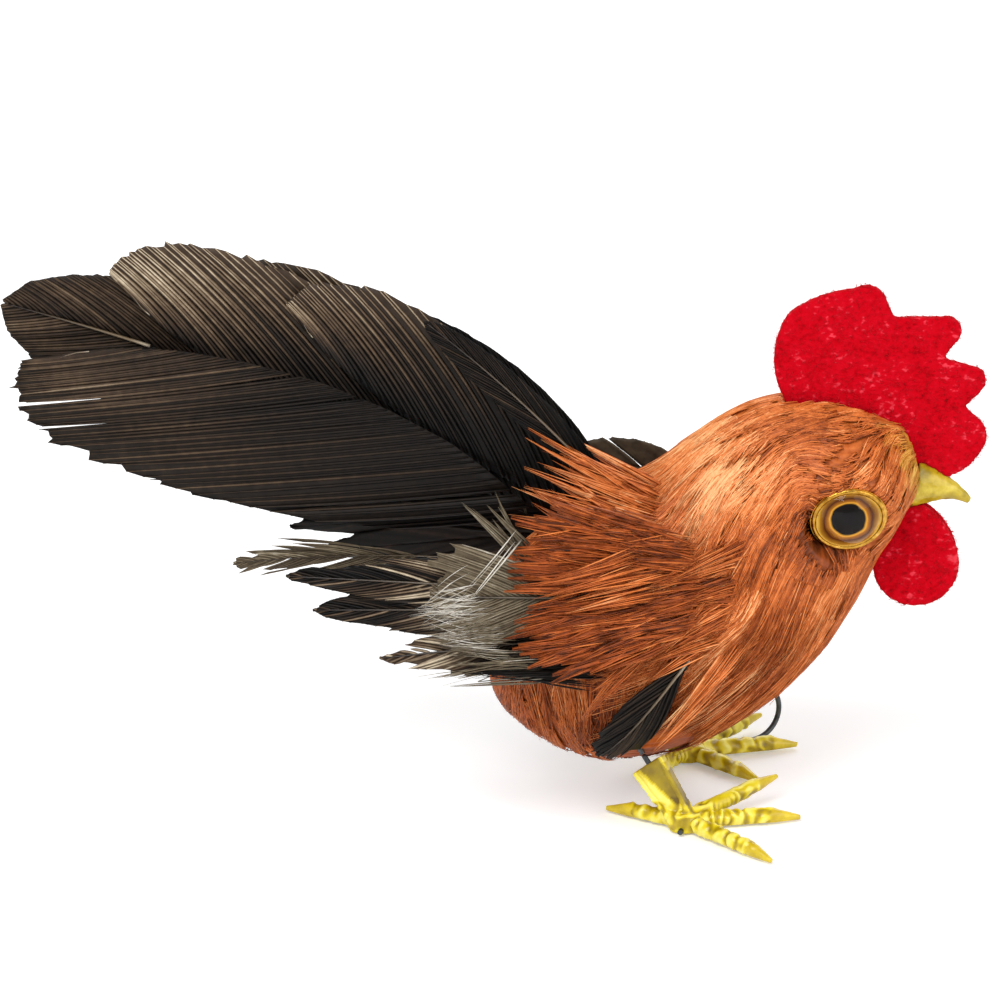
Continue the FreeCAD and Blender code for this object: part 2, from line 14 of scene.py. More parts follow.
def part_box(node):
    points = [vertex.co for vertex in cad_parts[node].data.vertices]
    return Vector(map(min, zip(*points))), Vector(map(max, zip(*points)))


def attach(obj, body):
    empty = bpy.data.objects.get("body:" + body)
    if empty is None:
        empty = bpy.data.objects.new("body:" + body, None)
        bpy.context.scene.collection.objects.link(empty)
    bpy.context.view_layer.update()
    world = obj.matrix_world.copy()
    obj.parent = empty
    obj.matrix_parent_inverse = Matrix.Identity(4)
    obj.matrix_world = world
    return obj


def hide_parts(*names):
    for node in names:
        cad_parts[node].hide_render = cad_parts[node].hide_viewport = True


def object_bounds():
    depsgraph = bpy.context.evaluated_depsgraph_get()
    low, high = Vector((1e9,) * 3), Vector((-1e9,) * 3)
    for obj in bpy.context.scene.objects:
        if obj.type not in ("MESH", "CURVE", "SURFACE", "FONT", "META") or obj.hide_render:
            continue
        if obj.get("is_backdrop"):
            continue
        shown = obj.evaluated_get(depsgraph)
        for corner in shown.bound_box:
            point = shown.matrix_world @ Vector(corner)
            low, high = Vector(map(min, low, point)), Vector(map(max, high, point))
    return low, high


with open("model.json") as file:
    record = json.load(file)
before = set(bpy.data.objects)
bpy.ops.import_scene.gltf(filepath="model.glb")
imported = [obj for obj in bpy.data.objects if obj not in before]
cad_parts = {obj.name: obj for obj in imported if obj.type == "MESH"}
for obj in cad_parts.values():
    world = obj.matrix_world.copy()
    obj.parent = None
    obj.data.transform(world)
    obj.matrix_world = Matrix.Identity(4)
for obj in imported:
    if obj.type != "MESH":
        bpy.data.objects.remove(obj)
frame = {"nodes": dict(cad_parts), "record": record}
CAD_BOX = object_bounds()
MM = 0.001

bl_info = {
    "name": "Feathered rooster ornament",
    "version": (1, 0, 0),
    "blender": (4, 5, 0),
    "location": "3D View > Sidebar > Rooster",
    "description": "Builds the plumage, feathers, felt, eyes and feet of a feathered rooster ornament",
    "category": "Object",
}


# ------------------------------------------------------------------ small helpers


def unit(vectors):
    """Vectors scaled to length one, along the last axis."""
    lengths = np.linalg.norm(vectors, axis=-1, keepdims=True)
    return vectors / np.maximum(lengths, 1e-12)


def node_points(node):
    """A CAD node's own points."""
    mesh = frame["nodes"][node].data
    points = np.zeros(len(mesh.vertices) * 3)
    mesh.vertices.foreach_get("co", points)
    return points.reshape(-1, 3)


def smooth_noise(points, scale, seed):
    """Soft value noise between 0 and 1, on any number of axes, a few waves deep."""
    rng = np.random.default_rng(seed)
    total = np.zeros(points.shape[:-1])
    for wave in range(5):
        way = rng.normal(size=points.shape[-1])
        way = way / np.linalg.norm(way)
        size = scale * (1.0 + 0.45 * wave)
        total += np.sin(points @ way * size + rng.uniform(0, 6.28))
    return 0.5 + total / 10.0


def deselect_all():
    """Nothing selected, in object mode."""
    if bpy.context.object and bpy.context.object.mode != "OBJECT":
        bpy.ops.object.mode_set(mode="OBJECT")
    bpy.ops.object.select_all(action="DESELECT")


def mesh_object(name, points, quads, triangles, attributes, material):
    """An object from arrays of points and faces, with one value per point for each attribute."""
    mesh = bpy.data.meshes.new(name)
    loops = np.concatenate([quads.ravel(), triangles.ravel()]).astype(np.int32)
    counts = np.concatenate([np.full(len(quads), 4), np.full(len(triangles), 3)]).astype(np.int32)
    mesh.vertices.add(len(points))
    mesh.vertices.foreach_set("co", np.ascontiguousarray(points, np.float32).ravel())
    mesh.loops.add(len(loops))
    mesh.loops.foreach_set("vertex_index", loops)
    mesh.polygons.add(len(counts))
    starts = np.concatenate([[0], np.cumsum(counts)[:-1]]).astype(np.int32)
    mesh.polygons.foreach_set("loop_start", starts)
    mesh.polygons.foreach_set("loop_total", counts)
    mesh.update(calc_edges=True)
    for key, values in attributes.items():
        layer = mesh.attributes.new(key, "FLOAT", "POINT")
        layer.data.foreach_set("value", np.ascontiguousarray(values, np.float32).ravel())
    mesh.polygons.foreach_set("use_smooth", np.ones(len(counts), bool))
    mesh.materials.append(material)
    thing = bpy.data.objects.new(name, mesh)
    bpy.context.scene.collection.objects.link(thing)
    return thing


def finish_piece(piece, body, slot, nodes=()):
    """Puts a piece on its body and hides the CAD nodes that it stands for."""
    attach(piece, body)
    if nodes:
        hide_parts(*nodes)
    return piece


# ------------------------------------------------------------------ fibres


def fibre_arrays(paths, ups, widths, thick):
    """Closed three-sided fibres along paths: points, quads, triangles and a count per fibre.

    paths and ups are fibre by step by xyz, widths is fibre by step, thick is a share of the width.
    """
    fibres, steps, _ = paths.shape
    along = np.gradient(paths, axis=1)
    side = unit(np.cross(along, ups))
    up = unit(np.cross(side, along))
    half = widths[..., None] / 2
    ring = np.stack([paths + side * half, paths - side * half, paths + up * half * 2 * thick], axis=2)
    points = ring.reshape(-1, 3)
    first = (np.arange(fibres) * steps * 3)[:, None, None]
    row = (np.arange(steps - 1) * 3)[None, :, None]
    corner = np.arange(3)[None, None, :]
    following = (corner + 1) % 3
    start = first + row
    quads = np.stack(
        [start + corner, start + following, start + 3 + following, start + 3 + corner], axis=-1
    ).reshape(-1, 4)
    base = np.arange(fibres)[:, None] * steps * 3
    near = base + np.array([2, 1, 0])
    far = base + (steps - 1) * 3 + np.array([0, 1, 2])
    return points, quads, np.concatenate([near, far])


def fibre_object(name, paths, ups, widths, thick, shade, material, ridge=0.0, stain=None):
    """One object of many fibres. shade is one tone per fibre, or per fibre and step.

    ridge paints a highlight along the middle line of each fibre and shade along its edges; stain is a second mask.
    """
    fibres, steps, _ = paths.shape
    points, quads, triangles = fibre_arrays(paths, ups, widths, thick)
    along = np.broadcast_to(np.linspace(0, 1, steps)[None, :, None], (fibres, steps, 3))
    shade = shade[:, None] if shade.ndim == 1 else shade
    # painted highlight on each fibre's top corner, painted shade on its two side corners
    tone = shade[:, :, None] + ridge * np.array([-0.5, -0.5, 1.0])
    attributes = {"along": along, "tone": np.clip(np.broadcast_to(tone, along.shape), 0, 1)}
    if stain is not None:
        attributes["stain"] = np.broadcast_to(stain[:, None, None], along.shape)
    return mesh_object(name, points, quads, triangles, attributes, material)


# ------------------------------------------------------------------ the body's surface


def eye_frame(side, out):
    """An eye's iris centre, the way it looks, its radius, and the heights of rim, dome top and dome base."""
    disc = node_points(f"{side}_eye_iris")
    centre = disc.mean(0)
    way = np.linalg.svd(disc - centre, full_matrices=False)[2][2]
    way = way * (1 if way[1] * out > 0 else -1)
    radius = np.linalg.norm(np.cross(disc - centre, way), axis=1).max()
    cup = (node_points(f"{side}_eye_cup") - centre) @ way
    lens = (node_points(f"{side}_eye_lens") - centre) @ way
    return centre, way, radius, cup.max(), lens.max(), lens.min()


class BodySurface:
    """The outside of the plumage as a smooth grid: along the spine, and round it from the back."""

    SPINE = ((0.15, 0.30), (0.27, 0.36), (0.42, 0.44), (0.56, 0.55), (0.67, 0.69), (0.77, 0.79), (0.86, 0.82))
    SKINS = ("neck_plumage", "breast_plumage", "saddle_plumage", "vent_plumage")

    def __init__(self, lengthwise=150, around=144):
        low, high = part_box("foam_core")
        span = high - low
        self.knots = np.array([[low.x + a * span.x, 0.0, low.z + b * span.z] for a, b in self.SPINE])
        self.tree = self.skin_tree()
        ts = np.linspace(0, 1, lengthwise)
        turns = np.linspace(0, 2 * math.pi, around, endpoint=False)
        self.grid = np.array([[self.hit(t, turn) for turn in turns] for t in ts])
        self.smooth()
        for side, out in (("right", -1), ("left", 1)):
            self.meet_rim(side, out)
        self.lengthwise = lengthwise
        self.around = around

    def skin_tree(self):
        """A search tree over the plumage nodes."""
        points = []
        faces = []
        for node in self.SKINS:
            mesh = frame["nodes"][node].data
            start = len(points)
            points += [vertex.co.copy() for vertex in mesh.vertices]
            faces += [[start + index for index in face.vertices] for face in mesh.polygons]
        return BVHTree.FromPolygons(points, faces)

    def spine_at(self, share):
        """A point on the spine and the way it runs."""
        place = np.clip(share, 0, 1) * (len(self.knots) - 1)
        index = int(min(place, len(self.knots) - 2))
        blend = place - index
        point = self.knots[index] * (1 - blend) + self.knots[index + 1] * blend
        ways = unit(np.gradient(self.knots, axis=0))
        return point, unit(ways[index] * (1 - blend) + ways[index + 1] * blend)

    def hit(self, t, turn):
        """The skin, seen from outside, at a share of the length and a turn from the back."""
        cap = 0.14
        share = (t - cap) / (1 - 2 * cap)
        point, way = self.spine_at(share)
        lean = 0.0
        if t < cap:
            lean = -(1 - t / cap)
        if t > 1 - cap:
            lean = 1 - (1 - t) / cap
        angle = lean * math.radians(88)
        up = np.array([-way[2], 0, way[0]])
        radial = up * math.cos(turn) + np.array([0, -1, 0]) * math.sin(turn)
        ray = radial * math.cos(angle) + way * math.sin(angle)
        start = Vector(point + ray * 0.08)
        found = self.tree.ray_cast(start, Vector(-ray))[0]
        return np.array(found) if found else point + ray * 0.002

    def smooth(self):
        """Evens out sockets and slots, and the joints between the skins."""
        for _ in range(3):
            ring = self.grid
            beside = (np.roll(ring, 1, 1) + np.roll(ring, -1, 1)) / 2
            ahead = ring.copy()
            ahead[1:-1] = (ring[2:] + ring[:-2]) / 2
            self.grid = 0.4 * ring + 0.3 * beside + 0.3 * ahead

    def meet_rim(self, side, out):
        """Fills the skin out to the rim all round an eye."""
        centre, way, radius, rim, _, _ = eye_frame(side, out)
        offset = self.grid - (centre + way * rim)
        height = offset @ way
        away = np.linalg.norm(offset - height[..., None] * way, axis=-1) / radius
        blend = np.clip((away - 1.0) / 1.1, 0, 1)
        blend = blend * blend * (3 - 2 * blend)
        sunk = np.where(away < 1.02, -1.8 * MM, -0.35 * MM)
        wanted = sunk + (height - sunk) * blend
        close = (away < 2.1) & (height < 0) & (height > -9 * MM) & (self.grid[..., 1] * out > 0)
        lift = np.where(close, np.maximum(wanted - height, 0), 0)
        self.grid = self.grid + way * lift[..., None]

    def at(self, t, turn):
        """Points on the surface, for arrays of shares and turns."""
        row = np.clip(t, 0, 1) * (self.lengthwise - 1)
        col = (turn / (2 * math.pi) * self.around) % self.around
        r0 = np.minimum(row.astype(int), self.lengthwise - 2)
        c0 = col.astype(int) % self.around
        c1 = (c0 + 1) % self.around
        fr = (row - r0)[..., None]
        fc = (col - np.floor(col))[..., None]
        near = self.grid[r0, c0] * (1 - fc) + self.grid[r0, c1] * fc
        far = self.grid[r0 + 1, c0] * (1 - fc) + self.grid[r0 + 1, c1] * fc
        return near * (1 - fr) + far * fr

    def local(self, t, turn):
        """Point, outward normal, and the change of place for each share and for each turn."""
        step_t = 0.006
        step_turn = 0.04
        forward = (self.at(t + step_t, turn) - self.at(t - step_t, turn)) / (2 * step_t)
        across = (self.at(t, turn + step_turn) - self.at(t, turn - step_turn)) / (2 * step_turn)
        normal = unit(np.cross(across, forward))
        return self.at(t, turn), normal, forward, across

    def place(self, t, turn, way, length, steps, lift):
        """Paths over the surface: from each start, on its way (turned from tailward), for its length.

        way is an angle from straight back, positive downward on either side. lift is steps long.
        """
        t = t.copy()
        turn = turn.copy()
        points = []
        normals = []
        for step in range(steps):
            point, normal, forward, across = self.local(t, turn)
            points.append(point + normal * lift[:, step, None])
            normals.append(normal)
            back = -unit(forward)
            side = unit(across) * np.where(np.sin(turn) >= 0, 1, -1)[..., None]
            move = back * np.cos(way)[..., None] + side * np.sin(way)[..., None]
            move = move * (length / (steps - 1))[..., None]
            t += np.sum(move * forward, -1) / np.maximum(np.sum(forward * forward, -1), 1e-9)
            turn += np.sum(move * across, -1) / np.maximum(np.sum(across * across, -1), 1e-9)
            t = np.clip(t, 0.002, 0.998)
        return np.stack(points, 1), np.stack(normals, 1)

    def nearest(self, x, z, side):
        """The share and turn of the surface point seen at x, z from one side (-1 right, 1 left)."""
        rows, cols = np.meshgrid(np.arange(self.lengthwise), np.arange(self.around), indexing="ij")
        half = self.grid[..., 1] * side > 0
        gap = np.hypot(self.grid[..., 0] - x, self.grid[..., 2] - z) + np.where(half, 0, 1)
        best = np.unravel_index(np.argmin(gap), gap.shape)
        return rows[best] / (self.lengthwise - 1), cols[best] / self.around * 2 * math.pi


    def keep_off(self, points, gap, conform=False):
        """Points moved out to stand clear of the body by a gap, or all laid at that gap."""
        flat = points.reshape(-1, 3).copy()
        for index, point in enumerate(flat):
            place, normal, _, _ = self.tree.find_nearest(Vector(point))
            height = (Vector(point) - place).dot(normal)
            if conform or height < gap:
                flat[index] = place + normal * gap
        return flat.reshape(points.shape)


SURFACE = BodySurface()


# ------------------------------------------------------------------ materials


def new_material(name):
    """An empty node material with its output and a Principled shader."""
    material = bpy.data.materials.new(name)
    material.use_nodes = True
    tree = material.node_tree
    tree.nodes.clear()
    output = tree.nodes.new("ShaderNodeOutputMaterial")
    shader = tree.nodes.new("ShaderNodeBsdfPrincipled")
    tree.links.new(shader.outputs[0], output.inputs[0])
    return material, tree, shader


def linear(color):
    """A screen colour, 0 to 1, as the linear value that Blender stores."""
    parts = [c / 12.92 if c <= 0.04045 else ((c + 0.055) / 1.055) ** 2.4 for c in color[:3]]
    return tuple(parts) + (1.0,)


def ramp(tree, value, stops):
    """A colour ramp on a value; stops are (place, screen colour)."""
    node = tree.nodes.new("ShaderNodeValToRGB")
    while len(node.color_ramp.elements) < len(stops):
        node.color_ramp.elements.new(0.5)
    for element, (place, color) in zip(node.color_ramp.elements, stops):
        element.position = place
        element.color = linear(color)
    tree.links.new(value, node.inputs[0])
    return node.outputs[0]


def attribute(tree, name):
    """A point attribute as a value."""
    node = tree.nodes.new("ShaderNodeAttribute")
    node.attribute_name = name
    return node.outputs["Fac"]


def math_node(tree, operation, one, two):
    """One sum on two values or sockets."""
    node = tree.nodes.new("ShaderNodeMath")
    node.operation = operation
    for index, item in enumerate((one, two)):
        if hasattr(item, "is_output"):
            tree.links.new(item, node.inputs[index])
        else:
            node.inputs[index].default_value = item
    return node.outputs[0]


def object_noise(tree, scale, detail=4.0, stretch=(1, 1, 1)):
    """Noise on the piece's own coordinates, in waves per metre."""
    coordinates = tree.nodes.new("ShaderNodeTexCoord")
    mapping = tree.nodes.new("ShaderNodeMapping")
    mapping.inputs["Scale"].default_value = stretch
    noise = tree.nodes.new("ShaderNodeTexNoise")
    noise.inputs["Scale"].default_value = scale
    noise.inputs["Detail"].default_value = detail
    tree.links.new(coordinates.outputs["Object"], mapping.inputs[0])
    tree.links.new(mapping.outputs[0], noise.inputs["Vector"])
    return noise.outputs["Fac"]


def bump(tree, shader, height, distance, strength=1.0):
    """Bump on a shader's normal."""
    node = tree.nodes.new("ShaderNodeBump")
    node.inputs["Distance"].default_value = distance
    node.inputs["Strength"].default_value = strength
    tree.links.new(height, node.inputs["Height"])
    tree.links.new(node.outputs[0], shader.inputs["Normal"])


def fibre_group():
    """A shader group that turns a fibre's tone, its length and fine dust into one mask."""
    name = "Fibre tone"
    if name in bpy.data.node_groups:
        return bpy.data.node_groups[name]
    group = bpy.data.node_groups.new(name, "ShaderNodeTree")
    for socket, default in (("Tone", 0.5), ("Along", 0.5), ("Tip darkening", 0.2), ("Dust", 0.1)):
        item = group.interface.new_socket(name=socket, in_out="INPUT", socket_type="NodeSocketFloat")
        item.default_value = default
    group.interface.new_socket(name="Mask", in_out="OUTPUT", socket_type="NodeSocketFloat")
    group.interface.new_socket(name="Height", in_out="OUTPUT", socket_type="NodeSocketFloat")
    inside = group.nodes.new("NodeGroupInput")
    outside = group.nodes.new("NodeGroupOutput")
    noise = object_noise(group, 900, 3.0)
    darker = math_node(group, "MULTIPLY", inside.outputs["Along"], inside.outputs["Tip darkening"])
    toned = math_node(group, "SUBTRACT", inside.outputs["Tone"], darker)
    dust = math_node(group, "MULTIPLY", math_node(group, "SUBTRACT", noise, 0.5), inside.outputs["Dust"])
    mask = math_node(group, "ADD", toned, dust)
    group.links.new(mask, outside.inputs["Mask"])
    group.links.new(noise, outside.inputs["Height"])
    return group


def fibre_material(name, stops, tip=0.15, dust=0.5, roughness=0.6, sheen=0.0, specular=0.3, stained=None):
    """A fibre or barb material: a ramp on the fibre's tone, and a stain colour where one is given."""
    material, tree, shader = new_material(name)
    group = tree.nodes.new("ShaderNodeGroup")
    group.node_tree = fibre_group()
    tree.links.new(attribute(tree, "tone"), group.inputs["Tone"])
    tree.links.new(attribute(tree, "along"), group.inputs["Along"])
    group.inputs["Tip darkening"].default_value = tip
    group.inputs["Dust"].default_value = dust
    color = ramp(tree, group.outputs["Mask"], stops)
    if stained:
        mix = tree.nodes.new("ShaderNodeMix")
        mix.data_type = "RGBA"
        tree.links.new(attribute(tree, "stain"), mix.inputs["Factor"])
        tree.links.new(color, mix.inputs["A"])
        tree.links.new(ramp(tree, group.outputs["Mask"], stained), mix.inputs["B"])
        color = mix.outputs["Result"]
    tree.links.new(color, shader.inputs["Base Color"])
    shader.inputs["Roughness"].default_value = roughness
    shader.inputs["Specular IOR Level"].default_value = specular
    shader.inputs["Sheen Weight"].default_value = sheen
    shader.inputs["Sheen Roughness"].default_value = 0.4
    bump(tree, shader, group.outputs["Height"], 0.00004, 0.5)
    return material


MATERIALS = {}


def shared(name, make):
    """A material made once and then shared."""
    if name not in MATERIALS:
        MATERIALS[name] = make()
    return MATERIALS[name]


def rust_fibre():
    """Dyed plumage, from dark rust to pale peach, its tone carrying both dye and painted light and shade; yellow where
    it is stained by the face paint.
    """
    stops = (
        (0.0, (0.13, 0.055, 0.025)), (0.25, (0.38, 0.165, 0.055)), (0.5, (0.68, 0.32, 0.105)),
        (0.75, (0.89, 0.50, 0.235)), (1.0, (0.99, 0.77, 0.54)),
    )
    yellow = ((0.2, (0.50, 0.34, 0.08)), (0.5, (0.78, 0.58, 0.16)), (0.9, (0.93, 0.80, 0.40)))
    return fibre_material("Rust fibre", stops, tip=0.0, dust=0.3, roughness=0.45, specular=0.3, stained=yellow)


def dark_barbs():
    """Brown-black tail and wing barbs with paler streaks."""
    stops = (
        (0.0, (0.035, 0.030, 0.030)), (0.25, (0.11, 0.09, 0.075)), (0.45, (0.22, 0.17, 0.13)),
        (0.65, (0.38, 0.31, 0.24)), (0.85, (0.58, 0.51, 0.42)), (1.0, (0.80, 0.74, 0.64)),
    )
    return fibre_material("Dark barbs", stops, tip=0.0, dust=0.25, roughness=0.5, specular=0.16)


def grey_barbs():
    """Soft taupe covert barbs."""
    stops = (
        (0.0, (0.14, 0.11, 0.08)), (0.4, (0.37, 0.32, 0.25)), (0.7, (0.55, 0.50, 0.41)),
        (1.0, (0.92, 0.90, 0.86)),
    )
    return fibre_material("Taupe barbs", stops, tip=0.0, dust=0.4, roughness=0.6, specular=0.2)


def quill_material():
    """Horny quill: pale at the root, dark along the vane."""
    stops = ((0.0, (0.85, 0.80, 0.70)), (0.25, (0.50, 0.43, 0.34)), (1.0, (0.16, 0.12, 0.10)))
    material, tree, shader = new_material("Quill")
    mask = math_node(tree, "ADD", attribute(tree, "along"), math_node(tree, "MULTIPLY", object_noise(tree, 600), 0.2))
    tree.links.new(ramp(tree, mask, stops), shader.inputs["Base Color"])
    shader.inputs["Roughness"].default_value = 0.3
    shader.inputs["Coat Weight"].default_value = 0.3
    return material


# ------------------------------------------------------------------ feathers


def blade_frame(node):
    """A CAD feather's root, tip, across way, facing way and width, read from its own points."""
    points = node_points(node)
    centre = points.mean(0)
    _, _, axes = np.linalg.svd(points - centre, full_matrices=False)
    way = axes[0] * (1 if axes[0][0] < 0 else -1)
    along = (points - centre) @ way
    root = points[along < along.min() + 0.0008].mean(0)
    tip = points[along > along.max() - 0.0008].mean(0)
    facing = axes[2] * (1 if axes[2][1] < 0 else -1)
    way = unit(tip - root)
    facing = unit(facing - way * (facing @ way))
    across = unit(np.cross(facing, way))
    if across[2] < 0:
        across = -across
    spread = (points - root) @ across
    return root, tip, across, facing, spread.max() - spread.min()


OUTLINE_AT = (0.0, 0.10, 0.20, 0.28, 0.40, 0.52, 0.65, 0.76, 0.85, 0.92, 0.97, 1.0)
OUTLINE_HALF = (0.0, 0.16, 0.50, 0.72, 0.90, 1.0, 1.0, 0.94, 0.81, 0.62, 0.38, 0.0)


def barb_reach(share, half, angle, length, offset, narrow):
    """How long barbs are that leave the quill at these shares, to end on the vane's outline.

    offset is how far the quill already stands towards that edge; narrow slims the far end.
    """
    reach = np.full(len(share), half * 0.5)
    for _ in range(60):
        there = share + reach * np.cos(angle) / length
        edge = half * np.interp(there, OUTLINE_AT, OUTLINE_HALF) * (1 - narrow * there ** 2)
        reach = 0.7 * reach + 0.3 * np.maximum(edge - offset, 0) / np.maximum(np.sin(angle), 0.1)
    return reach


def feather_barbs(rng, root, tip, across, facing, half_up, half_down, options):
    """The barbs of one feather: paths, facings, widths and tones at each step."""
    length = np.linalg.norm(tip - root)
    way = unit(tip - root)
    pitch = options.get("pitch", 0.36 * MM)
    steps = options.get("steps", 8)
    bow = options.get("bow", 0.03)
    droop = options.get("droop", 0.0)
    down = options.get("down", 0.0)
    v = np.linspace(0, 1, steps)[None, :]
    shift = options.get("quill_at", 0.0)
    paths, tones, runs = [], [], []
    for side, half in ((1, half_up), (-1, half_down)):
        if shift == side:
            continue
        lean = math.radians(options.get("angle", 22.0))
        spacing = pitch / math.sin(lean)
        count = int(length * (0.985 - options.get("start", 0.12)) / spacing)
        share = np.linspace(options.get("start", 0.12), 0.985, count)
        share = share + rng.normal(0, 0.12 * spacing / length, count)
        clump = np.cumsum(rng.random(count) < options.get("splits", 0.05))
        groups = clump.max() + 1
        angle = lean + rng.normal(0, options.get("ruffle", 0.012), groups)[clump]
        angle = angle + rng.normal(0, 0.004, count) + math.radians(14) * np.clip(0.35 - share, 0, 1)
        aside = shift * (half_up if shift > 0 else half_down) * np.interp(share, OUTLINE_AT, OUTLINE_HALF)
        reach = barb_reach(share, half, angle, length, side * aside, options.get("narrow", 0.0))
        reach = np.minimum(reach, np.maximum(1.0 - share, 0.004) * length / np.cos(angle))
        reach = reach * (1 + rng.normal(0, options.get("ragged", 0.012), count))
        reach = reach * (1 - np.abs(rng.normal(0, options.get("worn", 0.0), groups))[clump])
        bend = options.get("curl", 0.10) + rng.normal(0, 0.01, count)
        off_way = side * reach[:, None] * (np.sin(angle)[:, None] * v + bend[:, None] * (v - v * v))
        off_way = off_way + aside[:, None]
        down_way = share[:, None] * length + reach[:, None] * np.cos(angle)[:, None] * v
        middle = down_way / length
        rise = bow * length * 4 * middle * (1 - np.clip(middle, 0, 1.1)) - droop * length * middle ** 2
        lift = options.get("cup", 0.03) * reach[:, None] * v * v
        lift = lift + rng.normal(0, 0.10 * MM, groups)[clump][:, None] * v
        lift = lift + rng.normal(0, 0.03 * MM, count)[:, None]
        fluff = down * rng.normal(0, 1, (count, 2, 1)) * v * v
        path = (
            root + way * down_way[..., None]
            + across * (off_way + rise + fluff[:, 0])[..., None]
            + facing * (lift + np.abs(fluff[:, 1]))[..., None]
        )
        if "lay" in options:
            path = options["lay"](path)
        paths.append(path)
        runs.append(clump if options.get("open", False) else np.cumsum(rng.random(count) < options.get("slits", 0.02)))
        streak = rng.normal(0, options.get("streak", 0.09), count) + rng.normal(0, 0.05, groups)[clump]
        tones.append(streak[:, None] + options.get("edge", 0.05) * (v - 0.5))
    taper = np.interp(v, (0, 0.15, 0.75, 1.0), (0.7, 1.0, 0.95, 0.25))
    every = np.concatenate(paths)
    widths = pitch * options.get("fullness", 1.25) * np.broadcast_to(taper, every.shape[:2])
    ups = np.broadcast_to(facing, every.shape)
    return every, ups, widths, np.concatenate(tones), list(zip(paths, runs, tones))


def web_object(name, sides, facing, tone, material):
    """The thin web under the barbs, open only at the slits."""
    points, quads, tones = [], [], []
    start = 0
    for paths, runs, shades in sides:
        count, steps, _ = paths.shape
        points.append((paths - facing * 0.07 * MM).reshape(-1, 3))
        tones.append(np.broadcast_to(shades * 0.5, (count, steps)).ravel())
        index = start + np.arange(count * steps).reshape(count, steps)
        joined = runs[1:] == runs[:-1]
        near, far = index[:-1][joined], index[1:][joined]
        quads.append(np.stack([near[:, :-1], near[:, 1:], far[:, 1:], far[:, :-1]], -1).reshape(-1, 4))
        start += count * steps
    shade = np.clip(np.concatenate(tones) + tone, 0, 1)
    points = np.concatenate(points)
    attributes = {"tone": shade, "along": np.full(len(points), 0.5)}
    web = mesh_object(name, points, np.concatenate(quads), np.zeros((0, 3), int), attributes, material)
    deselect_all()
    web.select_set(True)
    bpy.context.view_layer.objects.active = web
    bpy.ops.object.mode_set(mode="EDIT")
    bpy.ops.mesh.select_all(action="SELECT")
    bpy.ops.mesh.delete_loose()
    bpy.ops.mesh.normals_make_consistent(inside=False)
    bpy.ops.object.mode_set(mode="OBJECT")
    solid = web.modifiers.new("thickness", "SOLIDIFY")
    solid.thickness = 0.05 * MM
    solid.offset = 0
    bpy.ops.object.modifier_apply(modifier=solid.name)
    return web


def quill_path(root, tip, across, options, halves, steps=24):
    """The quill's middle line."""
    length = np.linalg.norm(tip - root)
    share = np.linspace(options.get("quill_from", 0.02), options.get("quill_to", 0.985), steps)
    rise = options.get("bow", 0.03) * length * 4 * share * (1 - share)
    rise = rise - options.get("droop", 0.0) * length * share ** 2
    shift = options.get("quill_at", 0.0)
    half = halves[0] if shift > 0 else halves[1]
    rise = rise + shift * half * np.interp(share, OUTLINE_AT, OUTLINE_HALF)
    return root + (tip - root) * share[:, None] + across * rise[:, None]


def quill_object(name, path, facing, thick, material):
    """A tapering quill along a path."""
    steps = len(path)
    paths = path[None]
    ups = np.broadcast_to(facing, paths.shape)
    widths = (thick * np.linspace(1.0, 0.25, steps))[None, :]
    return fibre_object(name, paths, ups, widths, 0.8, np.array([0.5]), material)


def join(pieces, name):
    """Several mesh objects as one."""
    deselect_all()
    for piece in pieces:
        piece.select_set(True)
    bpy.context.view_layer.objects.active = pieces[0]
    bpy.ops.object.join()
    pieces[0].name = name
    pieces[0].data.name = name
    deselect_all()
    return pieces[0]


def feather_object(name, seed, blade, material, options):
    """A whole feather, barb by barb, with its quill."""
    rng = np.random.default_rng(seed)
    root, tip, across, facing, width = blade
    half_up = width * options.get("upper", 0.5)
    half_down = width * options.get("lower", 0.5)
    made = feather_barbs(rng, root, tip, across, facing, half_up, half_down, options)
    paths, ups, widths, tones, sides = made
    tone = options.get("tone", 0.45) + tones
    for change in options.get("tone_by", ()):
        tone = tone + change(paths)
    # the ridge option is the painted highlight along each barb's middle and the painted shade along its edges
    barbs = fibre_object(
        name + "_barbs", paths, ups, widths, options.get("tent", 0.3), tone, material, options.get("ridge", 0.16)
    )
    line = quill_path(root, tip, across, options, (half_up, half_down)) + facing * 0.12 * MM
    if "lay" in options:
        line = options["lay"](line) + facing * 0.15 * MM
    quill = quill_object(name + "_quill", line, facing, options.get("quill", 0.6 * MM), quill_share())
    pieces = [barbs, quill]
    if not options.get("open", False):
        web_tone = options.get("tone", 0.45) - 0.10
        if options.get("tone_by"):
            web_tone += float(np.mean([change(paths).mean() for change in options["tone_by"]]))
        pieces.append(web_object(name + "_web", sides, facing, web_tone, material))
    return join(pieces, name)


def quill_share():
    """The shared quill finish."""
    return shared("quill", quill_material)


# ------------------------------------------------------------------ settings


class RoosterPlumageSettings(bpy.types.PropertyGroup):
    """Sizes of the glued plumage."""

    tufts: bpy.props.IntProperty(name="Tufts", description="Tufts laid over the body", default=1500, min=100)
    strands: bpy.props.IntProperty(name="Strands", description="Strands in each tuft", default=14, min=3)
    strand_width: bpy.props.FloatProperty(
        name="Strand width", description="Width of one strand", default=0.22 * MM, unit="LENGTH", precision=5
    )
    relief: bpy.props.FloatProperty(
        name="Relief", description="Depth of the matted ridges", default=0.35 * MM, unit="LENGTH", precision=5
    )


class RoosterFeatherSettings(bpy.types.PropertyGroup):
    """Sizes of the long feathers."""

    angle: bpy.props.FloatProperty(
        name="Barb angle", description="Angle of a barb from its quill", default=math.radians(22), subtype="ANGLE"
    )


